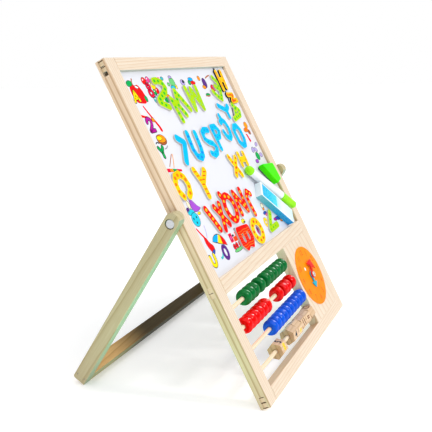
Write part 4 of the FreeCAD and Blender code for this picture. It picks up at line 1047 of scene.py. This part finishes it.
def bead_mesh(name, rod, first, number, mat, body):
    z0 = 33.5 + 24.4 * (4 - rod)
    rho = ((BEAD_L / 2) ** 2 + (BEAD_R - BEAD_F) ** 2) / (2 * (BEAD_R - BEAD_F))
    c = BEAD_R - rho
    prof = [(-BEAD_L / 2 + 0.5, BEAD_H), (-BEAD_L / 2 + 0.15, BEAD_H + 0.15), (-BEAD_L / 2 + 0.02, BEAD_H + 0.5), (-BEAD_L / 2 + 0.02, BEAD_F - 0.7)]
    a0 = math.atan2(BEAD_F - c, BEAD_L / 2)
    n = 22
    for j in range(n + 1):
        a = math.pi - a0 + (2 * a0 - math.pi) * j / n
        x, r = rho * math.cos(a), c + rho * math.sin(a)
        lim = BEAD_L / 2 - 0.25
        prof.append((max(-lim, min(lim, x)) if j in (0, n) else x, r - (0.12 if j in (0, n) else 0.0)))
    prof += [(BEAD_L / 2 - 0.02, BEAD_F - 0.7), (BEAD_L / 2 - 0.02, BEAD_H + 0.5), (BEAD_L / 2 - 0.15, BEAD_H + 0.15), (BEAD_L / 2 - 0.5, BEAD_H)]
    m = len(prof)
    seg = 56
    verts, faces = [], []
    for b in range(number):
        x0 = first + BEAD_STEP * b
        ph = random.uniform(0, 0.1)
        k = len(verts)
        for q in range(seg):
            a = 2 * math.pi * q / seg + ph
            for px, pr in prof:
                verts.append((x0 + px, 6.5 + pr * math.cos(a), z0 + pr * math.sin(a)))
        for q in range(seg):
            e = (q + 1) % seg
            for j in range(m):
                h = (j + 1) % m
                faces.append((k + q * m + j, k + q * m + h, k + e * m + h, k + e * m + j))
    o = make(name + "_turned", verts, faces, [mat], None, BOARD, 40)
    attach(o, body)
    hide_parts(body)
    return o


green_p = paint("green_paint", srgb(0, 112, 50), srgb(0, 92, 36))
red_p = paint("red_paint", srgb(238, 0, 0), srgb(216, 0, 0))
blue_p = paint("blue_paint", srgb(0, 88, 222), srgb(0, 68, 196))
bead_mesh("green_beads_left", 1, 64.5, 3, green_p, "green_beads_left")
bead_mesh("green_bead_middle", 1, 110.0, 1, green_p, "green_bead_middle")
bead_mesh("green_beads_right", 1, 130.3, 6, green_p, "green_beads_right")
bead_mesh("red_beads_left", 2, 37.8, 6, red_p, "red_beads_left")
bead_mesh("red_bead_middle", 2, 145.5, 1, red_p, "red_bead_middle")
bead_mesh("red_beads_pair", 2, 164.7, 2, red_p, "red_beads_pair")
bead_mesh("red_bead_right", 2, 196.4, 1, red_p, "red_bead_right")
bead_mesh("blue_beads", 3, 92.5, 10, blue_p, "blue_beads")

# ---------------------------------------------------------------- prints on the number blocks
APOTHEM = 10.3 * math.cos(math.radians(30))
TURNS = (0.0, 14.0, 22.0, 0.0, 3.0, -9.0)
WORDS = (("8", "", "3", "", "9", "5"), ("4", "", "-", "2", "6", ""), ("+", "", "6", "1", "+", ""),
         ("11", "", "8", "2", "4", ""), ("=", "", "-", "=", "+", ""), ("", "6", "15", "3", "9", "12"))
YELLOW_FACES = ((0, 0), (0, 3), (2, 0), (2, 2), (1, 4))
for k in range(6):
    x0 = 75.5 if k == 0 else 120.2 + 18.4 * (k - 1)
    s = Sheet("number_block_%d_print" % (k + 1), 0.0, 0.03, 0.2)
    name = "number_block_%d" % (k + 1)
    # faces look out at 90, 30, -30 ... degrees round the rod; each gets its own sheet, turned into place
    parts = []
    for f in range(6):
        sh = Sheet("x", -APOTHEM, 0.03, 0.2)
        bright = (k, f) in YELLOW_FACES
        mat = INK["print_yellow"] if bright else INK["print_brown"] if k > 2 else INK["navy"]
        if k == 2 and bright:
            sh.poly([(x0 + 9.05 + (4.4 if q % 2 else 2.0) * math.cos(math.radians(36 * q + 18)),
                      (4.4 if q % 2 else 2.0) * math.sin(math.radians(36 * q + 18))) for q in range(10)], mat, 1)
        elif WORDS[k][f]:
            sh.glyph(WORDS[k][f], x0 + 9.05, 0.0, 11.5, mat, 1, 0, None, 0.5 if bright else 0.35)
        rot = Matrix.Translation((0, 6.5, 33.5)) @ Matrix.Rotation(math.radians(TURNS[k] + 60 * f), 4, "X")
        base = len(s.v)
        s.v += [tuple(rot @ Vector(p)) for p in sh.v]
        s.f += [tuple(base + q for q in fc) for fc in sh.f]
        for q in sh.i:
            s.i.append(s.slot(sh.mats[q]))
    s.done(name)

# ---------------------------------------------------------------- floor, light, camera
floor_m = Mat("studio_floor")
fc = floor_m.noise(floor_m.tex.outputs["Object"], 3.0, 3.0, 0.5)
floor_m.link(floor_m.ramp(fc, [(0.3, (0.86, 0.86, 0.865)), (0.7, (0.89, 0.89, 0.895))]), floor_m.b.inputs["Base Color"])
floor_m.set("Roughness", 0.9)
floor_m.set("Emission Color", (1, 1, 1, 1))
floor_m.set("Emission Strength", 0.34)
me = bpy.data.meshes.new("floor")
R = 9.0
me.from_pydata([(-R, -R, 0), (R, -R, 0), (R, R, 0), (-R, R, 0)], [], [(0, 1, 2, 3)])
me.materials.append(floor_m.m)
floor = bpy.data.objects.new("floor", me)
scene.collection.objects.link(floor)

world = bpy.data.worlds.new("studio")
scene.world = world
world.use_nodes = True
wt = world.node_tree
bg = wt.nodes["Background"]
bg.inputs[1].default_value = 1.0
# an even pale room, brighter towards one wall
wtex = wt.nodes.new("ShaderNodeTexCoord")
wdot = wt.nodes.new("ShaderNodeVectorMath")
wdot.operation = "DOT_PRODUCT"
wdot.inputs[1].default_value = (0.916, 0.401, 0.0)
wt.links.new(wtex.outputs["Generated"], wdot.inputs[0])
wr = wt.nodes.new("ShaderNodeValToRGB")
wr.color_ramp.interpolation = "EASE"
wr.color_ramp.elements[0].position, wr.color_ramp.elements[0].color = 0.60, (0.46, 0.47, 0.48, 1)
wr.color_ramp.elements[1].position, wr.color_ramp.elements[1].color = 0.93, (1.0, 1.0, 1.0, 1)
wt.links.new(wdot.outputs["Value"], wr.inputs[0])
wt.links.new(wr.outputs[0], bg.inputs[0])


def area(name, loc, target, size, power, colour=(1, 1, 1)):
    li = bpy.data.lights.new(name, "AREA")
    li.shape = "RECTANGLE"
    li.size, li.size_y = size
    li.energy = power
    li.color = colour
    o = bpy.data.objects.new(name, li)
    o.location = loc
    o.rotation_euler = (Vector(target) - Vector(loc)).to_track_quat("-Z", "Y").to_euler()
    o.visible_camera = False
    scene.collection.objects.link(o)
    return o


area("key", (0.10, -1.40, 1.30), (0, 0, 0.15), (0.20, 0.34), 10.0, (1.0, 0.985, 0.965))
gleam = area("gleam", (1.40, -0.34, 1.00), (0, 0, 0.12), (0.32, 0.74), 20.0, (1.0, 1.0, 1.0))
gleam.visible_diffuse = False
glossy = bpy.data.collections.new("gloss_paint")
for o in scene.objects:
    if o.name.endswith("_turned"):
        glossy.objects.link(o)
gleam.light_linking.receiver_collection = glossy
sun = bpy.data.lights.new("overhead", "SUN")
sun.energy = 1.4
sun.angle = math.radians(70)
sun_o = bpy.data.objects.new("overhead", sun)
sun_o.rotation_euler = (math.radians(14), 0, 0)
scene.collection.objects.link(sun_o)
area("under", (-0.10, -0.02, 0.004), (-0.10, -0.02, 0.3), (0.40, 0.10), 0.17, (0.25, 1.0, 0.55))
area("low_left", (-0.75, -0.35, 0.05), (-0.16, -0.05, 0.08), (0.5, 0.2), 0.35, (0.6, 1.0, 0.62))

cam = bpy.data.cameras.new("camera")
cam.sensor_width = 36.0
cam.lens = 57.355
cam_o = bpy.data.objects.new("camera", cam)
right = Vector((0.39490625, -0.91829871, -0.0278662))
down = Vector((-0.20981543, -0.06061635, -0.97586021))
fwd = Vector((0.89444203, 0.39122005, -0.21661102))
m = Matrix.Identity(4)
for r in range(3):
    m[r][0], m[r][1], m[r][2] = right[r], -down[r], -fwd[r]
m.translation = Vector((-0.78176353, -0.33178231, 0.35550399))
cam_o.matrix_world = m
scene.collection.objects.link(cam_o)
scene.camera = cam_o
scene.view_settings.view_transform = "Standard"
scene.view_settings.look = "None"
